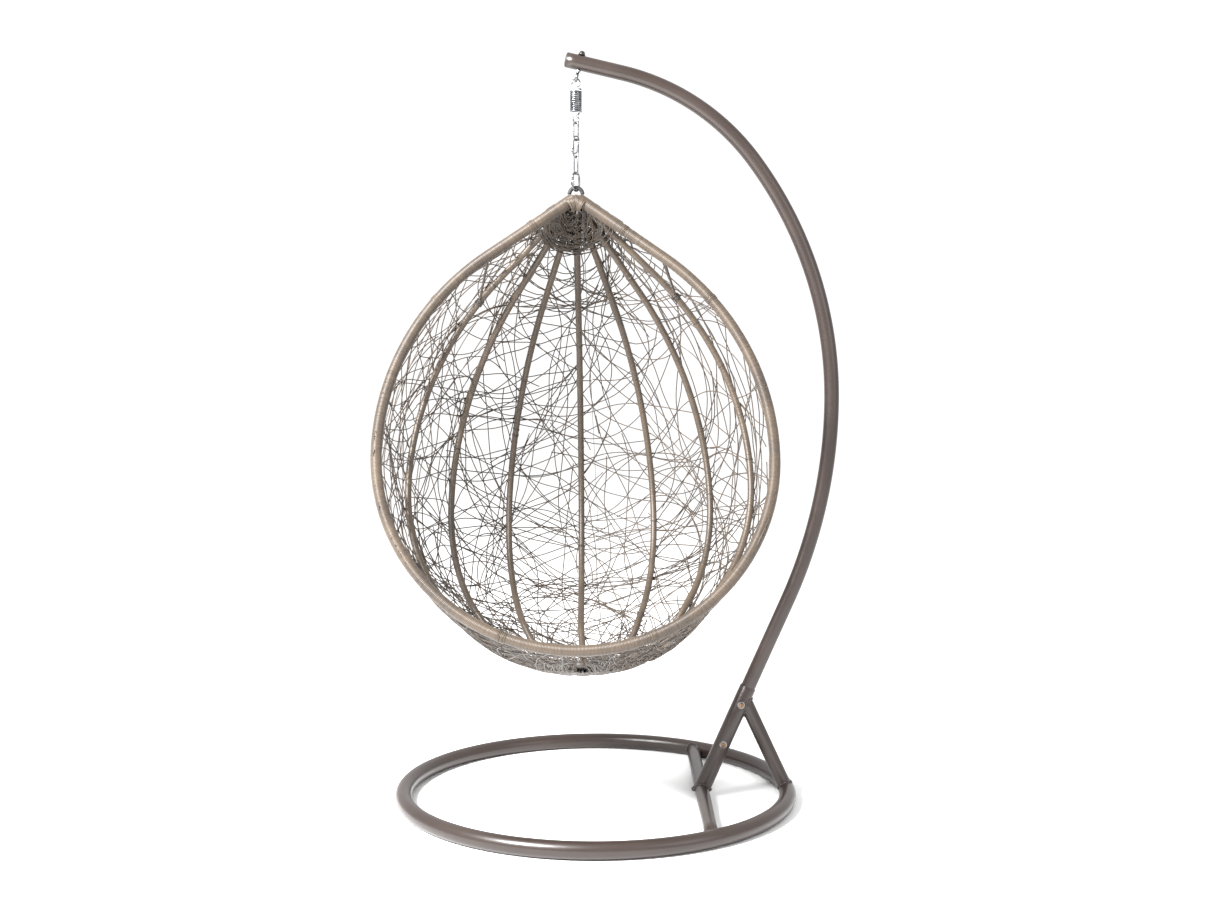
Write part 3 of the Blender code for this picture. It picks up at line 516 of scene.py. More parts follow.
def polePath():
    points = [
        socketTop - leanAxis * poleSize["tuck"] + leanAxis * poleSize["tuck"] * step / 8 for step in range(9)
    ]
    points += [socketTop + leanAxis * poleSize["straight"] * step / 10 for step in range(1, 11)]
    heading = leanTurn
    for radius, turn in poleSize["bends"]:
        centre = points[-1] - radius * Vector((math.cos(heading), 0, -math.sin(heading)))
        for step in range(1, 49):
            angle = heading - math.radians(turn) * step / 48
            points.append(centre + radius * Vector((math.cos(angle), 0, -math.sin(angle))))
        heading -= math.radians(turn)
    last = points[-1]
    points += [last + armAxis() * poleSize["arm"] * step / 8 for step in range(1, 9)]
    return points


polePoints = polePath()
poleTip = polePoints[-1]
plugSize = {"out": 0.0052, "edge": 0.0012}


def buildPole():
    bundle("pole", [tube(polePoints, poleSize["radius"], rounded=False)], 44, "standCoat", "stand", ("pole",))
    outer = poleSize["radius"] - 0.0003
    outline = [(outer - 0.003, -0.006), (outer, 0.0)]
    for step in range(1, 9):
        angle = math.pi / 2 * step / 8
        outline.append(
            (
                outer * (0.62 + 0.38 * math.cos(angle)),
                plugSize["edge"] + (plugSize["out"] - plugSize["edge"]) * math.sin(angle),
            )
        )
    outline.append((0, plugSize["out"] + 0.0003))
    lathe("poleEndPlug", outline, 40, along(poleTip, armAxis()), "plugPlastic", "stand", ("pole_end_plug",))


lockSize = {
    "drops": (0.048, 0.162), "head": 0.0073, "height": 0.0046, "key": 0.0023, "nut": 0.0067,
    "nutHeight": 0.0062,
}


def buildLocks():
    face = socketSize["radius"]
    for name, drop in zip(("upper", "lower"), lockSize["drops"]):
        place = along(socketTop - leanAxis * drop, Vector((0, -1, 0)), leanAxis)
        washer = [
            (0.003, face + 0.0002), (0.0092, face + 0.0002), (0.0096, face + 0.0006),
            (0.0092, face + 0.0013), (0.003, face + 0.0013),
        ]
        lathe(name + "LockWasher", washer, 32, place, "zinc", "stand")
        top = face + 0.0012 + lockSize["height"]
        head = [
            (lockSize["head"] * 0.9, face + 0.0012), (lockSize["head"], face + 0.0019),
            (lockSize["head"] * 0.98, top - 0.0026),
        ]
        for step in range(1, 7):
            angle = math.pi / 2 * step / 6
            head.append(
                (lockSize["head"] * (0.42 + 0.56 * math.cos(angle)), top - 0.0026 + 0.0026 * math.sin(angle))
            )
        head += [
            (lockSize["key"] + 0.0003, top), (lockSize["key"], top - 0.0004),
            (lockSize["key"], top - 0.0028), (0, top - 0.0034),
        ]

        def keySocket(outline, angles):
            across = lockSize["key"] * math.cos(math.pi / 6)
            local = (angles + math.pi / 6) % (math.pi / 3) - math.pi / 6
            flat = across / np.cos(local)[None, :]
            inner = outline[:, :1] <= lockSize["key"] + 0.0001
            return np.where(inner & (outline[:, :1] > 0.001), np.minimum(1.0, flat / outline[:, :1]), 1.0)

        lathe(name + "LockBolt", head, 48, place, "lockBrass", "stand", (name + "_lock_bolt",), keySocket)
        shank = [
            place @ Vector((0, 0, face - 0.002)),
            place @ Vector((0, 0, -face - lockSize["nutHeight"] - 0.0012)),
        ]
        bundle(name + "LockShank", [tube(shank, 0.0039)], 20, "lockBrass", "stand")
        low, high = -face - 0.0003 - lockSize["nutHeight"], -face - 0.0003
        nut = [
            (0.0041, high), (lockSize["nut"] * 0.86, high), (lockSize["nut"], high - 0.0008),
            (lockSize["nut"], low + 0.0008), (lockSize["nut"] * 0.86, low), (0.0041, low),
        ]
        lathe(name + "LockNut", nut, 48, place, "zinc", "stand", (name + "_lock_nut",), hexPull)


buildBase()
buildSocket()
buildPole()
buildLocks()
print("stand made")

# Eye bolt, spring and chain

eyeSize = {"inset": 0.033, "wire": 0.0035, "radius": 0.0090, "reach": 0.0465}
springSize = {
    "wire": 0.0023, "size": 0.031, "turns": 10, "pitch": 0.0053, "hookWire": 0.00175,
    "hookRadius": 0.0103, "rise": 0.030, "lowHookTurn": 50,
}
chainSize = {"wire": 0.0017, "width": 0.0144, "length": 0.0465, "turns": (-34, 31, -51)}
spareSize = {"shift": 0.0030, "tilt": 17, "ride": 0.0041}
quickSize = {
    "wire": 0.0025, "width": 0.028, "turn": 55, "gate": 0.0045, "gateDrop": 0.004, "nut": 0.0049,
    "nutLength": 0.010,
}


def buildEyeBolt():
    rise = math.radians(poleSize["rise"])
    down = Vector((-math.sin(rise), 0, -math.cos(rise)))
    seat = poleTip - armAxis() * eyeSize["inset"]
    place = along(seat, -down)
    crown = poleSize["radius"]
    centre = -(eyeSize["reach"] - eyeSize["radius"])
    path = [
        Vector((0, 0, crown + 0.006)), Vector((0, 0, 0)),
        Vector((0, 0, centre + eyeSize["radius"] * 1.55)),
    ]
    path += [Vector((0, 0.0012, centre + eyeSize["radius"] * 1.25))]
    path += arcPoints(
        Vector((0, 0, centre)), Vector((0, 1, 0)), Vector((0, 0, 1)), eyeSize["radius"], 70, -231, 48,
    )
    bundle(
        "eyeBolt", [tube([place @ point for point in path], eyeSize["wire"])], 20, "zinc", "stand",
        ("eye_bolt",),
    )
    threads = []
    for step in range(9 * 16):
        angle = 2 * math.pi * step / 16
        height = -crown - 0.0050 - 0.0009 * step / 16
        threads.append(
            place @ Vector((eyeSize["wire"] * math.cos(angle), eyeSize["wire"] * math.sin(angle), height))
        )
    bundle("eyeBoltThread", [tube(threads, 0.00032)], 6, "zinc", "stand")
    low = crown + 0.0003
    washer = [
        (0.0038, low), (0.0096, low), (0.0100, low + 0.0005), (0.0096, low + 0.0016),
        (0.0038, low + 0.0016),
    ]
    lathe("capNutWasher", washer, 40, place, "blackPlastic", "stand", ("cap_nut_washer",))
    base = low + 0.0019
    dome = [(0.0040, base), (0.0072, base), (0.00775, base + 0.0006), (0.00775, base + 0.0034)]
    for step in range(1, 9):
        angle = math.pi / 2 * step / 8
        dome.append((0.0071 * math.cos(angle), base + 0.0036 + 0.0059 * math.sin(angle)))
    lathe("eyeBoltCapNut", dome, 48, place, "blackPlastic", "stand", ("eye_bolt_cap_nut",))
    high = -crown - 0.0003
    nut = [
        (0.0037, high), (0.0061, high), (0.0070, high - 0.0007), (0.0070, high - 0.0038),
        (0.0061, high - 0.0045), (0.0037, high - 0.0045),
    ]
    lathe("eyeBoltNut", nut, 48, place, "zinc", "stand", ("eye_bolt_nut",), hexPull)
    return seat + down * eyeSize["reach"]


def hookPath(hang, endHeight, centre, direction, turn, flip):
    side = Vector((math.cos(turn), math.sin(turn), 0))
    coilRadius = springSize["size"] / 2 - springSize["wire"]
    made = [
        side * coilRadius + Vector((0, 0, endHeight - direction * 0.0034)),
        side * (coilRadius * 0.8) + Vector((0, 0, endHeight)),
    ]
    for step in range(41):
        angle = math.radians(-62 + 259 * step / 40)
        rise = direction * springSize["hookRadius"] * math.sin(angle)
        made.append(side * (springSize["hookRadius"] * math.cos(angle)) + Vector((0, 0, centre + rise)))
    if flip:
        made = [Vector((-point.x, point.y, point.z)) for point in made]
    return [hang + point for point in made]


def buildSpring(eyeBottom):
    hang = Vector((hangX, 0, eyeBottom.z + eyeSize["wire"] + springSize["hookWire"] + 0.0003))
    coilTop = -springSize["rise"]
    coilBottom = coilTop - springSize["turns"] * springSize["pitch"]
    reach = springSize["wire"] + springSize["hookWire"] + 0.0006
    upper = hookPath(hang, coilTop + reach, -springSize["hookRadius"], 1, math.pi, True)
    bundle(
        "springUpperHook", [tube(upper, springSize["hookWire"])], 14, "zinc", "spring_top",
        ("spring_upper_hook",),
    )
    radius = springSize["size"] / 2 - springSize["wire"]
    coil = []
    for step in range(springSize["turns"] * 40 + 1):
        angle = 2 * math.pi * step / 40
        coil.append(
            hang + Vector(
                (
                    radius * math.cos(angle), radius * math.sin(angle),
                    coilTop - springSize["pitch"] * step / 40,
                )
            )
        )
    spring = bundle("springCoil", [tube(coil, springSize["wire"])], 14, "zinc", None, ("spring_coil",))
    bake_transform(spring)
    lowCentre = coilBottom - springSize["rise"] + springSize["hookRadius"]
    lower = hookPath(hang, coilBottom - reach, lowCentre, -1, math.radians(springSize["lowHookTurn"]), False)
    bundle(
        "springLowerHook", [tube(lower, springSize["hookWire"])], 14, "zinc", "spring_bottom",
        ("spring_lower_hook",),
    )


def linkPath(top, width, length, turn):
    # Closed long link that hangs from top, the middle of its upper crown.
    side = Vector((math.cos(turn), math.sin(turn), 0))
    up = Vector((0, 0, 1))
    radius = width / 2
    high = top - up * radius
    low = top - up * (length - radius)
    path = arcPoints(high, side, up, radius, 0, 180, 20)
    path += [path[-1].lerp(low - side * radius, share) for share in (0.25, 0.5, 0.75)]
    path += arcPoints(low, side, up, radius, 180, 360, 20)
    path += [path[-1].lerp(high + side * radius, share) for share in (0.25, 0.5, 0.75)]
    return path


def linkWeld(path):
    # The small bulge where a link's wire was welded shut.
    radius = np.full(len(path), chainSize["wire"])
    radius[22] = chainSize["wire"] * 1.12
    return radius


def buildChain():
    for number, turn in enumerate(chainSize["turns"], start=1):
        low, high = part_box(f"chain_link_{number}")
        top = Vector((hangX, 0, high.z - chainSize["wire"]))
        path = linkPath(top, chainSize["width"], chainSize["length"], math.radians(turn))
        bundle(
            f"chainLink{number}", [tube(path, linkWeld(path), True)], 16, "zinc", f"link_{number}",
            (f"chain_link_{number}",),
        )
    firstLow = Vector((hangX, 0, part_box("chain_link_1")[0].z + chainSize["wire"]))
    turn = math.radians(chainSize["turns"][0])
    axis = Vector((math.cos(turn), math.sin(turn), 0))
    touch = chainSize["wire"] * 2 + 0.0003
    climb = math.sqrt(touch ** 2 - spareSize["shift"] ** 2)
    place = firstLow + axis * spareSize["shift"] + Vector((0, 0, touch + climb + spareSize["ride"]))
    tilt = Matrix.Translation(place) @ Matrix.Rotation(-math.radians(spareSize["tilt"]), 4, axis)
    path = linkPath(
        Vector((0, 0, 0)), chainSize["width"], chainSize["length"], math.radians(chainSize["turns"][1]),
    )
    path = [tilt @ point for point in path]
    bundle("spareLink", [tube(path, linkWeld(path), True)], 16, "zinc", "spare_link", ("spare_link",))


def buildQuickLink():
    low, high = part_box("quick_link")
    wire = quickSize["wire"]
    top = Vector((hangX, 0, high.z - wire))
    length = high.z - low.z - 2 * wire
    turn = math.radians(quickSize["turn"])
    side = Vector((math.cos(turn), math.sin(turn), 0))
    up = Vector((0, 0, 1))
    radius = quickSize["width"] / 2
    gate = top - side * radius - up * (length / 2 + quickSize["gateDrop"])
    path = [gate - up * quickSize["gate"] / 2]
    path += arcPoints(top - up * (length - radius), side, up, radius, 180, 360, 24)
    path += arcPoints(top - up * radius, side, up, radius, 0, 180, 24)
    path += [gate + up * quickSize["gate"] / 2]
    bundle("quickLink", [tube(path, wire)], 18, "zinc", "quick_link", ("quick_link",))
    threads = []
    for step in range(8 * 14):
        angle = 2 * math.pi * step / 14
        around = (wire - 0.0001) * Vector((math.cos(angle), math.sin(angle), 0))
        threads.append(gate + around + Vector((0, 0, 0.0125 - 0.0008 * step / 14)))
    bundle("quickLinkThread", [tube(threads, 0.0003)], 6, "zinc", "quick_link")
    half = quickSize["nutLength"] / 2
    nut = quickSize["nut"]
    outline = [
        (wire + 0.0003, half), (nut * 0.84, half), (nut, half - 0.0012), (nut, half - 0.004),
        (nut, -half + 0.004),
        (nut, -half + 0.0012), (nut * 0.84, -half), (wire + 0.0003, -half),
    ]
    lathe(
        "quickLinkNut", outline, 48, Matrix.Translation(gate), "zinc", "quick_nut", ("quick_link_nut",),
        hexPull,
    )


eyeBottom = buildEyeBolt()
buildSpring(eyeBottom)
buildChain()
buildQuickLink()
print("spring and chain made")

# Basket shape. Basket points: X right, Y to the back, Z up its axis, apex at the origin.

basketSize = {
    "tilt": 21.4, "turn": 2.5, "roll": 0.45, "radius": 0.482, "apexAngle": 53.1, "apexStraight": 0.276,
    "backDepth": 1.35, "backStep": 0.023, "ribs": (-66.8, -46.7, -24.9, 0.0, 24.9, 46.7, 66.8),
    "fanTurn": 3.6,
    "hub": (0.017, 0.150, -1.180), "hubPull": 0.84, "bowHeight": 0.024,
}
bowSize = {"rod": 0.0027, "width": 0.0335, "sleeve": 0.0050, "foot": 0.004, "sleeveEdge": 0.0006}

bowCrown = Vector((hangX, 0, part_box("hanger_bow")[1].z - bowSize["rod"]))
apexDrop = Vector((0, 0, -basketSize["bowHeight"]))
turnedPlace = Matrix.Translation(bowCrown) @ Matrix.Rotation(math.radians(basketSize["turn"]), 4, "Z")
basketPlace = (
    turnedPlace @ Matrix.Translation(apexDrop) @ Matrix.Rotation(math.radians(basketSize["roll"]), 4, "Y")
    @ Matrix.Rotation(-math.radians(basketSize["tilt"]), 4, "X")
)
basketArray = np.array(basketPlace)


def toWorld(points):
    points = np.asarray(points, float)
    return points @ basketArray[:3, :3].T + basketArray[:3, 3]


def halfOutline(count=240):
    # Half of the rim's centre line: a straight, a flank bend and a quarter circle.
    angle = math.radians(basketSize["apexAngle"])
    straight, wide = basketSize["apexStraight"], basketSize["radius"]
    bend = (wide - straight * math.sin(angle)) / (1 - math.cos(angle))
    drop = straight * math.cos(angle)
    fine = [(straight * math.sin(angle) * share, 0, -drop * share) for share in np.linspace(0, 1, 40)]
    middleDrop = -drop - bend * math.sin(angle)
    for share in np.linspace(0, 1, 60)[1:]:
        turn = angle * (1 - share)
        fine.append((wide - bend + bend * math.cos(turn), 0, middleDrop + bend * math.sin(turn)))
    for share in np.linspace(0, 1, 80)[1:]:
        turn = math.pi / 2 * share
        fine.append((wide * math.cos(turn), 0, middleDrop - wide * math.sin(turn)))
    fine = np.array(fine)
    run = np.concatenate([[0.0], np.cumsum(np.linalg.norm(np.diff(fine, axis=0), axis=1))])
    places = np.linspace(0, run[-1], count)
    return np.stack([np.interp(places, run, fine[:, axis]) for axis in range(3)], 1)


outline = halfOutline()
basketHeight = -outline[-1, 2]


def shellPoints(turn, share):
    # Points of the ribs' centre surface, at turns in degrees and shares of the outline.
    turn, share = np.broadcast_arrays(np.asarray(turn, float), np.asarray(share, float))
    place = np.clip(share, 0, 1) * (len(outline) - 1)
    index = np.arange(len(outline))
    wide = np.interp(place, index, outline[:, 0])
    high = np.interp(place, index, outline[:, 2])
    back = np.cos(np.radians(turn))
    point = np.stack([
        wide * np.sin(np.radians(turn)), (basketSize["backDepth"] * wide + basketSize["backStep"]) * back,
        high,
    ], -1)
    pull = np.clip((-high / basketHeight - basketSize["hubPull"]) / (1 - basketSize["hubPull"]), 0, 1)
    pull = pull * pull * (3 - 2 * pull)
    front = np.clip((90 - np.abs(turn)) / (90 - basketSize["ribs"][-1] - basketSize["fanTurn"]), 0, 1)
    hub = np.array(basketSize["hub"])
    target = np.stack(
        [
            np.full_like(back, hub[0]), hub[1] - basketSize["backStep"] * back,
            np.full_like(back, hub[2] + basketHeight),
        ],
        -1,
    )
    return point + target * (pull * front)[..., None]


def shellNormals(turn, share):
    across = shellPoints(turn + 0.5, share) - shellPoints(turn - 0.5, share)
    down = shellPoints(turn, np.minimum(share + 0.004, 1)) - shellPoints(turn, np.maximum(share - 0.004, 0))
    return unit(np.cross(across, down) + 1e-12)


def shareAtSpread(spread):
    index = int(np.argmax(outline[:, 0] >= spread))
    return index / (len(outline) - 1)


ribTurns = [fan + basketSize["fanTurn"] for fan in basketSize["ribs"]]

# Rim and ribs, wound with strand

rimWound = {
    "radius": 0.0139, "pitch": 0.0033, "depth": 0.0010,
    "profile": ((-0.42, 1.0), (-0.16, 0.12), (0.16, 0.0), (0.40, 0.5)), "sides": 16,
}
ribWound = {
    "radius": 0.0089, "pitch": 0.0031, "depth": 0.00035, "profile": ((-0.4, 1.0), (0.1, 0.0)),
    "sides": 14,
}


def wound(path, spec, start, end, swell=None):
    # A tube with a groove between each two turns of the strand wound round it. Each turn has its own tone,
    # and the bottom of each groove is given a darker tone as painted shade.
    run = np.concatenate([[0.0], np.cumsum(np.linalg.norm(np.diff(path, axis=0), axis=1))])
    places, radii, tones = [], [], []
    place = start
    drift = 0.5
    while place < run[-1] - end:
        pitch = spec["pitch"] * rng.uniform(0.9, 1.1)
        drift = min(max(drift + rng.gauss(0, 0.05), 0.25), 0.75)
        tone = drift + rng.uniform(-0.16, 0.16)
        proud = rng.gauss(0, 0.00012)
        for offset, groove in spec["profile"]:
            spot = place + offset * pitch
            more = swell(spot / run[-1]) if swell else 0.0
            places.append(spot)
            radii.append(spec["radius"] + more + proud - groove * spec["depth"])
            # painted shade: the deepest points of each groove get a darker tone, for the shade in the crease
            # between turns
            tones.append(tone - 0.35 * (groove > 0.6))
        place += pitch
    points = np.stack([np.interp(places, run, path[:, axis]) for axis in range(3)], 1)
    return tube(points, radii, tone=tones)


def rimLoop():
    left = outline[::-1].copy()
    left[:, 0] *= -1
    return np.vstack([outline, left[1:]])


rimPath = toWorld(rimLoop())


def apexSwell(share):
    # The rim's winding is thicker towards the apex.
    far = min(share, 1 - share)
    return 0.0022 * math.exp(-((far / 0.028) ** 2))


def buildRim():
    bundle(
        "rimWinding", [wound(rimPath, rimWound, 0.012, 0.012, apexSwell)], rimWound["sides"],
        "wickerWound", "basket", ("rim_wrap",),
    )
    for number, turn in enumerate(ribTurns, start=1):
        share = np.linspace(shareAtSpread(0.030), 1.0, 260)
        path = shellPoints(turn, share)
        hub = np.array(basketSize["hub"])
        path = path[np.linalg.norm((path - hub)[:, :2], axis=1) > 0.034]
        path = toWorld(path)
        ribTube = wound(path, ribWound, 0.012, 0.010)
        bundle(
            f"ribWinding{number}", [ribTube], ribWound["sides"], "wickerRib", "basket",
            (f"rib_wrap_{number}",),
        )


buildRim()
print("rim and ribs wound")

# Bindings: extra turns of strand over the rim and ribs

bindSize = {"strand": 0.0013, "gap": 0.0029, "ribStrand": 0.0012, "ribProud": 0.0002}
# share of the whole rim, counted from the apex down its right side, and turns of strand
rimBinds = ((0.047, 5), (0.135, 4), (0.445, 5), (0.555, 6), (0.862, 5), (0.958, 5))
ribBinds = {"each": 4, "turns": (1, 2)}


def ringAround(centre, tangent, radius, tilt, strand, tone):
    # One turn of strand round a tube, a little out of square.
    normal = Vector(tangent).normalized()
    lean = Vector((rng.uniform(-1, 1), rng.uniform(-1, 1), rng.uniform(-1, 1)))
    normal = (normal + lean * tilt).normalized()
    first = normal.orthogonal().normalized()
    second = normal.cross(first)
    loop = arcPoints(Vector(centre), first, second, radius, 0, 345, 23)
    return tube(loop, strand, True, tone)


def pathSpot(path, share):
    run = np.concatenate([[0.0], np.cumsum(np.linalg.norm(np.diff(path, axis=0), axis=1))])
    place = run[-1] * share
    spot = np.array([np.interp(place, run, path[:, axis]) for axis in range(3)])
    ahead = np.array([np.interp(place + 0.004, run, path[:, axis]) for axis in range(3)])
    return spot, unit(ahead - spot + 1e-12), run[-1]


def buildBindings():
    loops = []
    for share, turns in rimBinds:
        for step in range(turns):
            spot, tangent, length = pathSpot(rimPath, share)
            here = share + (step - turns / 2) * bindSize["gap"] / length
            spot, tangent, length = pathSpot(rimPath, here)
            grow = 0.0004 * rng.random() - 0.0003 + apexSwell(here)
            loops.append(
                ringAround(
                    spot, tangent, rimWound["radius"] + grow, 0.10, bindSize["strand"],
                    rng.uniform(0.25, 0.8),
                )
            )
    bundle("rimBindings", loops, 8, "wickerWound", "basket")
    loops = []
    for turn in ribTurns:
        path = toWorld(shellPoints(turn, np.linspace(0.10, 0.93, 160)))
        for _ in range(ribBinds["each"]):
            share = rng.uniform(0.03, 0.97)
            for step in range(rng.randint(*ribBinds["turns"])):
                spot, tangent, length = pathSpot(path, share + step * bindSize["gap"] / 1.4)
                loops.append(
                    ringAround(
                        spot, tangent, ribWound["radius"] + bindSize["ribProud"], 0.22,
                        bindSize["ribStrand"], rng.uniform(0.0, 0.5),
                    )
                )
    bundle("ribBindings", loops, 8, "wickerStrand", "basket")


buildBindings()

# Woven strands between the ribs

weaveSize = {
    "strand": 0.00145, "step": 0.011, "length": (0.7, 1.9), "bend": 3.3, "drift": 1.5,
    "lift": (0.0040, 0.0078), "strands": 226, "wave": 0.0009,
    "ribLift": 0.0104, "ribSpread": 0.0012, "ribReach": 0.026,    # how a strand rises over a rib
}
lowWeave = {"strands": 170, "from": 0.80, "length": (0.3, 0.9)}
topWeave = {"strands": 22, "to": 0.20, "length": (0.15, 0.6)}


def metric(turn, share):
    # Metres for each degree of turn and for each unit of share, at a place on the shell.
    here = shellPoints(turn, share)
    across = np.linalg.norm(shellPoints(turn + 0.5, share) - here) * 2
    down = np.linalg.norm(
        shellPoints(turn, min(share + 0.003, 1.0)) - shellPoints(turn, share - 0.003)
    ) / 0.006
    return max(float(across), 0.0008), max(float(down), 0.3)


gridTurns = np.linspace(-90, 90, 61)
gridShares = np.linspace(0.0, 1.0, 61)
metricGrid = np.array([[metric(turn, share) for share in gridShares] for turn in gridTurns])


def walk(turn, share, heading, length, low, high):
    # One strand's run over the shell, bending slowly at random until it leaves the shell or ends.
    run = [(turn, share)]
    bend = rng.gauss(0, weaveSize["bend"])
    for _ in range(int(length / weaveSize["step"])):
        row = min(max(int((turn + 90) / 3 + 0.5), 0), 60)
        column = min(max(int(share * 60 + 0.5), 0), 60)
        across, down = metricGrid[row, column]
        turn += math.cos(heading) * weaveSize["step"] / across
        share += math.sin(heading) * weaveSize["step"] / down
        bend += rng.gauss(0, weaveSize["drift"]) - bend * 0.10
        heading += bend * weaveSize["step"]
        if abs(turn) > 91.5 or share < low or share > high:
            break
        run.append((turn, share))
    return run


def strandTube(run, tone):
    # Lays a run over the shell, lifted clear of the ribs where it crosses them.
    turn = np.array([place[0] for place in run])
    share = np.array([place[1] for place in run])
    base = shellPoints(turn, share)
    normal = shellNormals(turn, share)
    lift = rng.uniform(*weaveSize["lift"]) + weaveSize["wave"] * np.sin(
        np.arange(len(run)) * 0.55 + rng.uniform(0, 6)
    )
    for rib in ribTurns:
        beside = np.linalg.norm(shellPoints(np.full_like(turn, rib), share) - base, axis=1)
        high = (lift - weaveSize["lift"][0]) / (weaveSize["lift"][1] - weaveSize["lift"][0])
        over = weaveSize["ribLift"] + weaveSize["ribSpread"] * high
        lift = np.maximum(lift, over * np.exp(-((beside / weaveSize["ribReach"]) ** 4)))
    return tube(toWorld(base + normal * lift[:, None]), weaveSize["strand"], tone=tone)


def smoothRun(run):
    # Rounds a run's small corners.
    run = np.array(run)
    if len(run) < 5:
        return run
    soft = run.copy()
    soft[1:-1] = (run[:-2] + 2 * run[1:-1] + run[2:]) / 4
    return soft


def buildWeave():
    groups = [[] for _ in range(8)]
    edges = [-90] + ribTurns + [90]

    def addStrand(turn, share, length, low, high):
        heading = rng.uniform(0, 2 * math.pi)
        ahead = walk(turn, share, heading, length / 2, low, high)
        behind = walk(turn, share, heading + math.pi, length / 2, low, high)
        run = smoothRun(behind[::-1] + ahead[1:])
        if len(run) < 6:
            return
        panel = max(index for index in range(8) if turn >= edges[index])
        groups[panel].append(strandTube(run, rng.uniform(0.05, 0.85)))

    made = 0
    while made < weaveSize["strands"]:
        turn = rng.uniform(-90, 90)
        share = rng.uniform(0.06, 0.97)
        across, down = metric(turn, share)
        if rng.random() > across / 0.0122:
            continue
        addStrand(turn, share, rng.uniform(*weaveSize["length"]), 0.045, 0.985)
        made += 1
    for _ in range(lowWeave["strands"]):
        addStrand(
            rng.uniform(-90, 90), rng.uniform(lowWeave["from"], 0.985), rng.uniform(*lowWeave["length"]),
            0.74, 0.994,
        )
    for _ in range(topWeave["strands"]):
        addStrand(
            rng.uniform(-90, 90), rng.uniform(0.06, topWeave["to"]), rng.uniform(*topWeave["length"]),
            0.045, 0.3,
        )
    for number, strands in enumerate(groups, start=1):
        bundle(f"weaveStrands{number}", strands, 6, "wickerStrand", "basket", (f"weave_panel_{number}",))


buildWeave()
print("weave made")

# Apex: crossing strands behind the rim, and turns over the point

# behind, front and outer: nearest distance from the ribs' surface, and how much more at random
fanSize = {
    "strands": 130, "shares": (0.018, 0.078), "strand": 0.0015,
    "behind": (0.0085, 0.0075), "front": (0.0105, 0.0030), "outer": (0.0150, 0.0025),
}
pointWraps = {"turns": 24, "high": 0.0165, "deep": 0.0172, "drop": 0.006}


def buildApex():
    strands = []
    for number in range(fanSize["strands"]):
        start = rng.uniform(-90, 90)
        share = rng.uniform(*fanSize["shares"])
        swing = rng.uniform(40, 130) * rng.choice((-1, 1))
        rise = rng.uniform(-0.03, 0.03)
        steps = np.linspace(0, 1, 16)
        turn = np.clip(start + swing * (steps - 0.5), -90, 90)
        run = np.clip(share + rise * (steps - 0.5) + 0.006 * np.sin(steps * math.pi), *fanSize["shares"])
        base = shellPoints(turn, run)
        lift = fanSize["behind"][0] + fanSize["behind"][1] * rng.random()
        # Every other strand crosses in front of the ribs.
        lift = -fanSize["front"][0] - fanSize["front"][1] * rng.random() if number % 2 else lift
        strands.append(
            tube(
                toWorld(base + shellNormals(turn, run) * lift), fanSize["strand"],
                tone=rng.uniform(0.1, 0.8),
            )
        )
    for number in range(fanSize["strands"] // 2):
        turn = rng.uniform(-88, 88)
        lean = rng.uniform(-26, 26)
        steps = np.linspace(0, 1, 9)
        turns = np.clip(turn + lean * steps, -90, 90)
        run = fanSize["shares"][0] + (fanSize["shares"][1] + 0.006 - fanSize["shares"][0]) * steps
        base = shellPoints(turns, run)
        lift = fanSize["outer"][0] + fanSize["outer"][1] * rng.random()
        strands.append(
            tube(
                toWorld(base + shellNormals(turns, run) * lift), fanSize["strand"],
                tone=rng.uniform(0.1, 0.8),
            )
        )
    bundle("apexFan", strands, 7, "wickerStrand", "basket", ("apex_weave_cap",))

    wraps = []
    angle = math.radians(basketSize["apexAngle"])
    for number in range(pointWraps["turns"]):
        share = number / (pointWraps["turns"] - 1) * 2 - 1
        lean = share * (math.pi / 2 - angle) * 1.0
        normal = Vector((math.cos(lean), 0, -math.sin(lean) * 1.0))
        centre = Vector((0.020 * share, 0.001, -0.0135 - 0.010 * abs(share)))
        up = Vector((math.sin(lean), 0, math.cos(lean)))
        tall = pointWraps["high"] + 0.0010 * rng.random() + 0.002 * (1 - abs(share))
        deep = pointWraps["deep"] + 0.0012 * rng.random()
        loop = []
        for step in range(28):
            turn = 2 * math.pi * step / 28
            loop.append(
                centre + up * (
                    tall * math.cos(turn)
                ) + Vector((0, 1, 0)) * (deep * math.sin(turn)) + normal * rng.uniform(-0.0003, 0.0003)
            )
        wraps.append(tube(toWorld([tuple(point) for point in loop]), 0.0016, True, rng.uniform(0.2, 0.85)))
    bundle("apexWraps", wraps, 8, "wickerWound", "basket")


buildApex()

# Struts, bow and sleeve

strutSize = {"rod": 0.0034, "rimFall": 0.165, "ribFall": 0.215}


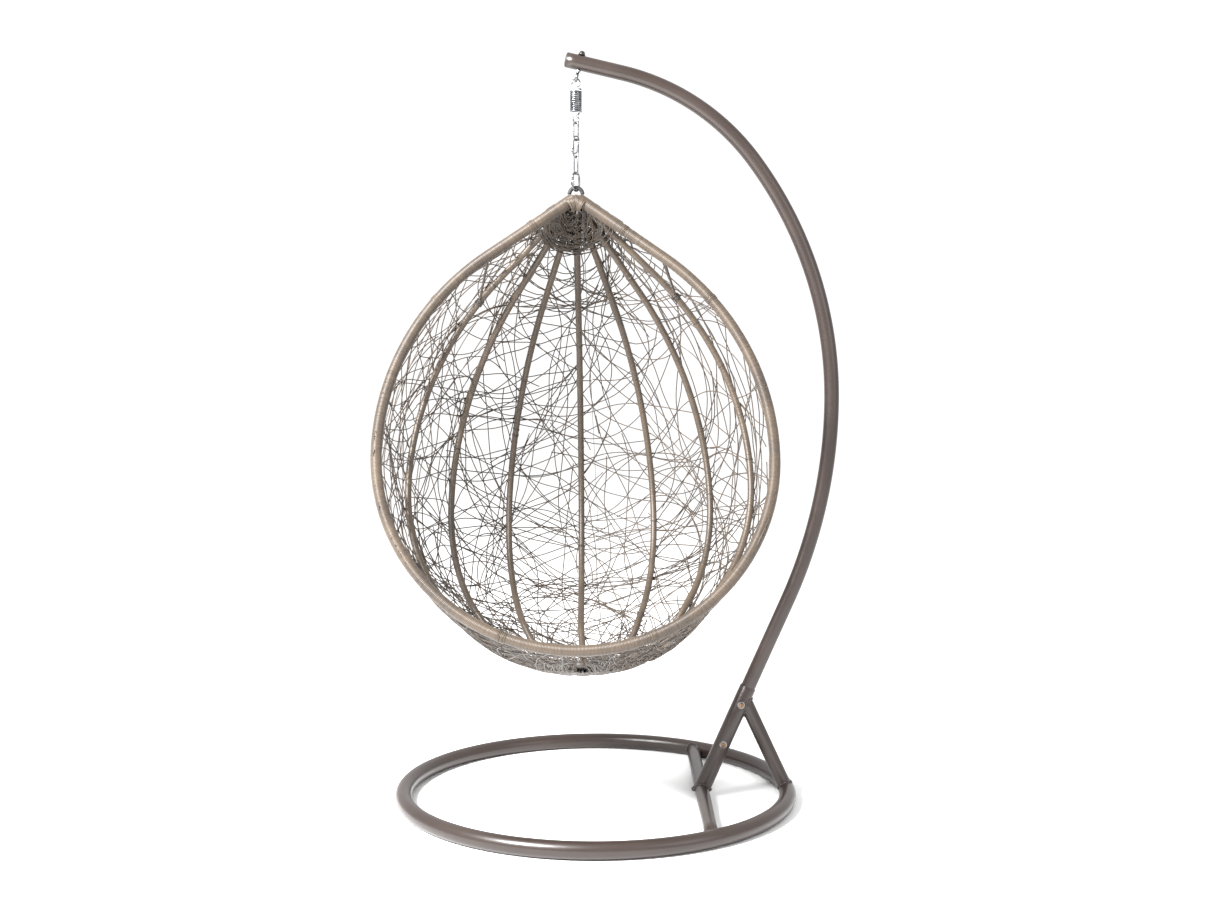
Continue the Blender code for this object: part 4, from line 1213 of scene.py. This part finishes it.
def buildStruts():
    for name, side, node in (("leftStrut", -1, "left_strut"), ("rightStrut", 1, "right_strut")):
        rim = outline.copy()
        rim[:, 0] *= side
        rimSpot = rim[np.argmin(np.abs(rim[:, 2] + strutSize["rimFall"]))]
        rib = shellPoints(side * basketSize["ribs"][-1] + basketSize["fanTurn"], np.linspace(0, 1, 400))
        ribSpot = rib[np.argmin(np.abs(rib[:, 2] + strutSize["ribFall"]))]
        path = toWorld(np.linspace(rimSpot, ribSpot, 60))
        spec = {
            "radius": strutSize["rod"], "pitch": 0.0029, "depth": 0.0005,
            "profile": ((-0.4, 1.0), (0.1, 0.0)),
        }
        bundle(name, [wound(path, spec, 0.004, 0.004)], 12, "wickerStrand", "basket", (node,))
        loops = []
        ribPath = toWorld(rib)
        near = int(np.argmin(np.linalg.norm(rib - ribSpot, axis=1)))
        tangent = ribPath[min(near + 3, 399)] - ribPath[near - 3]
        for step in range(5):
            spot = ribPath[near] + unit(tangent) * (step - 2) * 0.0029
            loops.append(ringAround(spot, tangent, 0.0103, 0.15, 0.0015, rng.uniform(0.1, 0.6)))
        bundle(name + "Knot", loops, 8, "wickerDark", "basket")


def buildBow():
    radius = bowSize["width"] / 2
    up = Vector((0, 0, 1))
    side = Vector((1, 0, 0))
    arch = arcPoints(-up * radius, side, up, radius, 0, 180, 36)
    foot = -basketSize["bowHeight"] - bowSize["foot"]
    path = [Vector((radius, 0, foot))] + arch + [Vector((-radius, 0, foot))]
    place = turnedPlace
    bundle(
        "hangerBow", [tube([place @ point for point in path], bowSize["rod"])], 16, "bowPaint", "basket",
        ("hanger_bow",),
    )
    sleevePath = [place @ point for point in arch]
    edge = bowSize["sleeve"] - bowSize["sleeveEdge"]
    thick = [edge] + [bowSize["sleeve"]] * (len(sleevePath) - 2) + [edge]
    bundle(
        "bowSleeve", [tube(sleevePath, thick, rounded=False)], 18, "blackRubber", "basket",
        ("bow_sleeve",),
    )


buildStruts()
buildBow()
for name in ["rim_tube", "crown_hoop", "bottom_hub"] + [f"rib_tube_{number}" for number in range(1, 8)]:
    nodes[name].data.materials.clear()
    nodes[name].data.materials.append(finishes["frameCoat"])
nodes["hub_bolt"].data.materials.clear()
nodes["hub_bolt"].data.materials.append(finishes["zinc"])
print("basket made")

# Floor and light

studio = {
    "floor": (0.95, 0.95, 0.95), "floorReach": 14, "sky": 1.08,
    "key": {"place": (-2.4, -2.4, 3.3), "size": 1.1, "power": 820},
    "fill": {"place": (2.6, -2.2, 2.2), "size": 2.0, "power": 30},
}


def addFloor():
    size = studio["floorReach"]
    mesh = bpy.data.meshes.new("floor")
    mesh.from_pydata(
        [(-size, -size, 0), (size, -size, 0), (size, size, 0), (-size, size, 0)], [], [(0, 1, 2, 3)],
    )
    floor = bpy.data.objects.new("floor", mesh)
    bpy.context.scene.collection.objects.link(floor)
    made, tree, shader = newMaterial("paleFloor", 0.9)
    shader.inputs["Base Color"].default_value = (*studio["floor"], 1)
    mesh.materials.append(made)


def addLight(name, spec, target):
    light = bpy.data.lights.new(name, "AREA")
    light.energy = spec["power"]
    light.size = spec["size"]
    lamp = bpy.data.objects.new(name, light)
    lamp.location = spec["place"]
    lamp.rotation_euler = (Vector(target) - Vector(spec["place"])).to_track_quat("-Z", "Y").to_euler()
    bpy.context.scene.collection.objects.link(lamp)


def addSky():
    world = bpy.data.worlds.new("studio")
    world.use_nodes = True
    sky = world.node_tree.nodes["Background"]
    sky.inputs["Color"].default_value = (1, 1, 1, 1)
    sky.inputs["Strength"].default_value = studio["sky"]
    bpy.context.scene.world = world


addFloor()
addSky()
addLight("keyLight", studio["key"], (-0.1, 0, 1.0))
addLight("fillLight", studio["fill"], (0.1, 0, 1.0))
print("studio made")
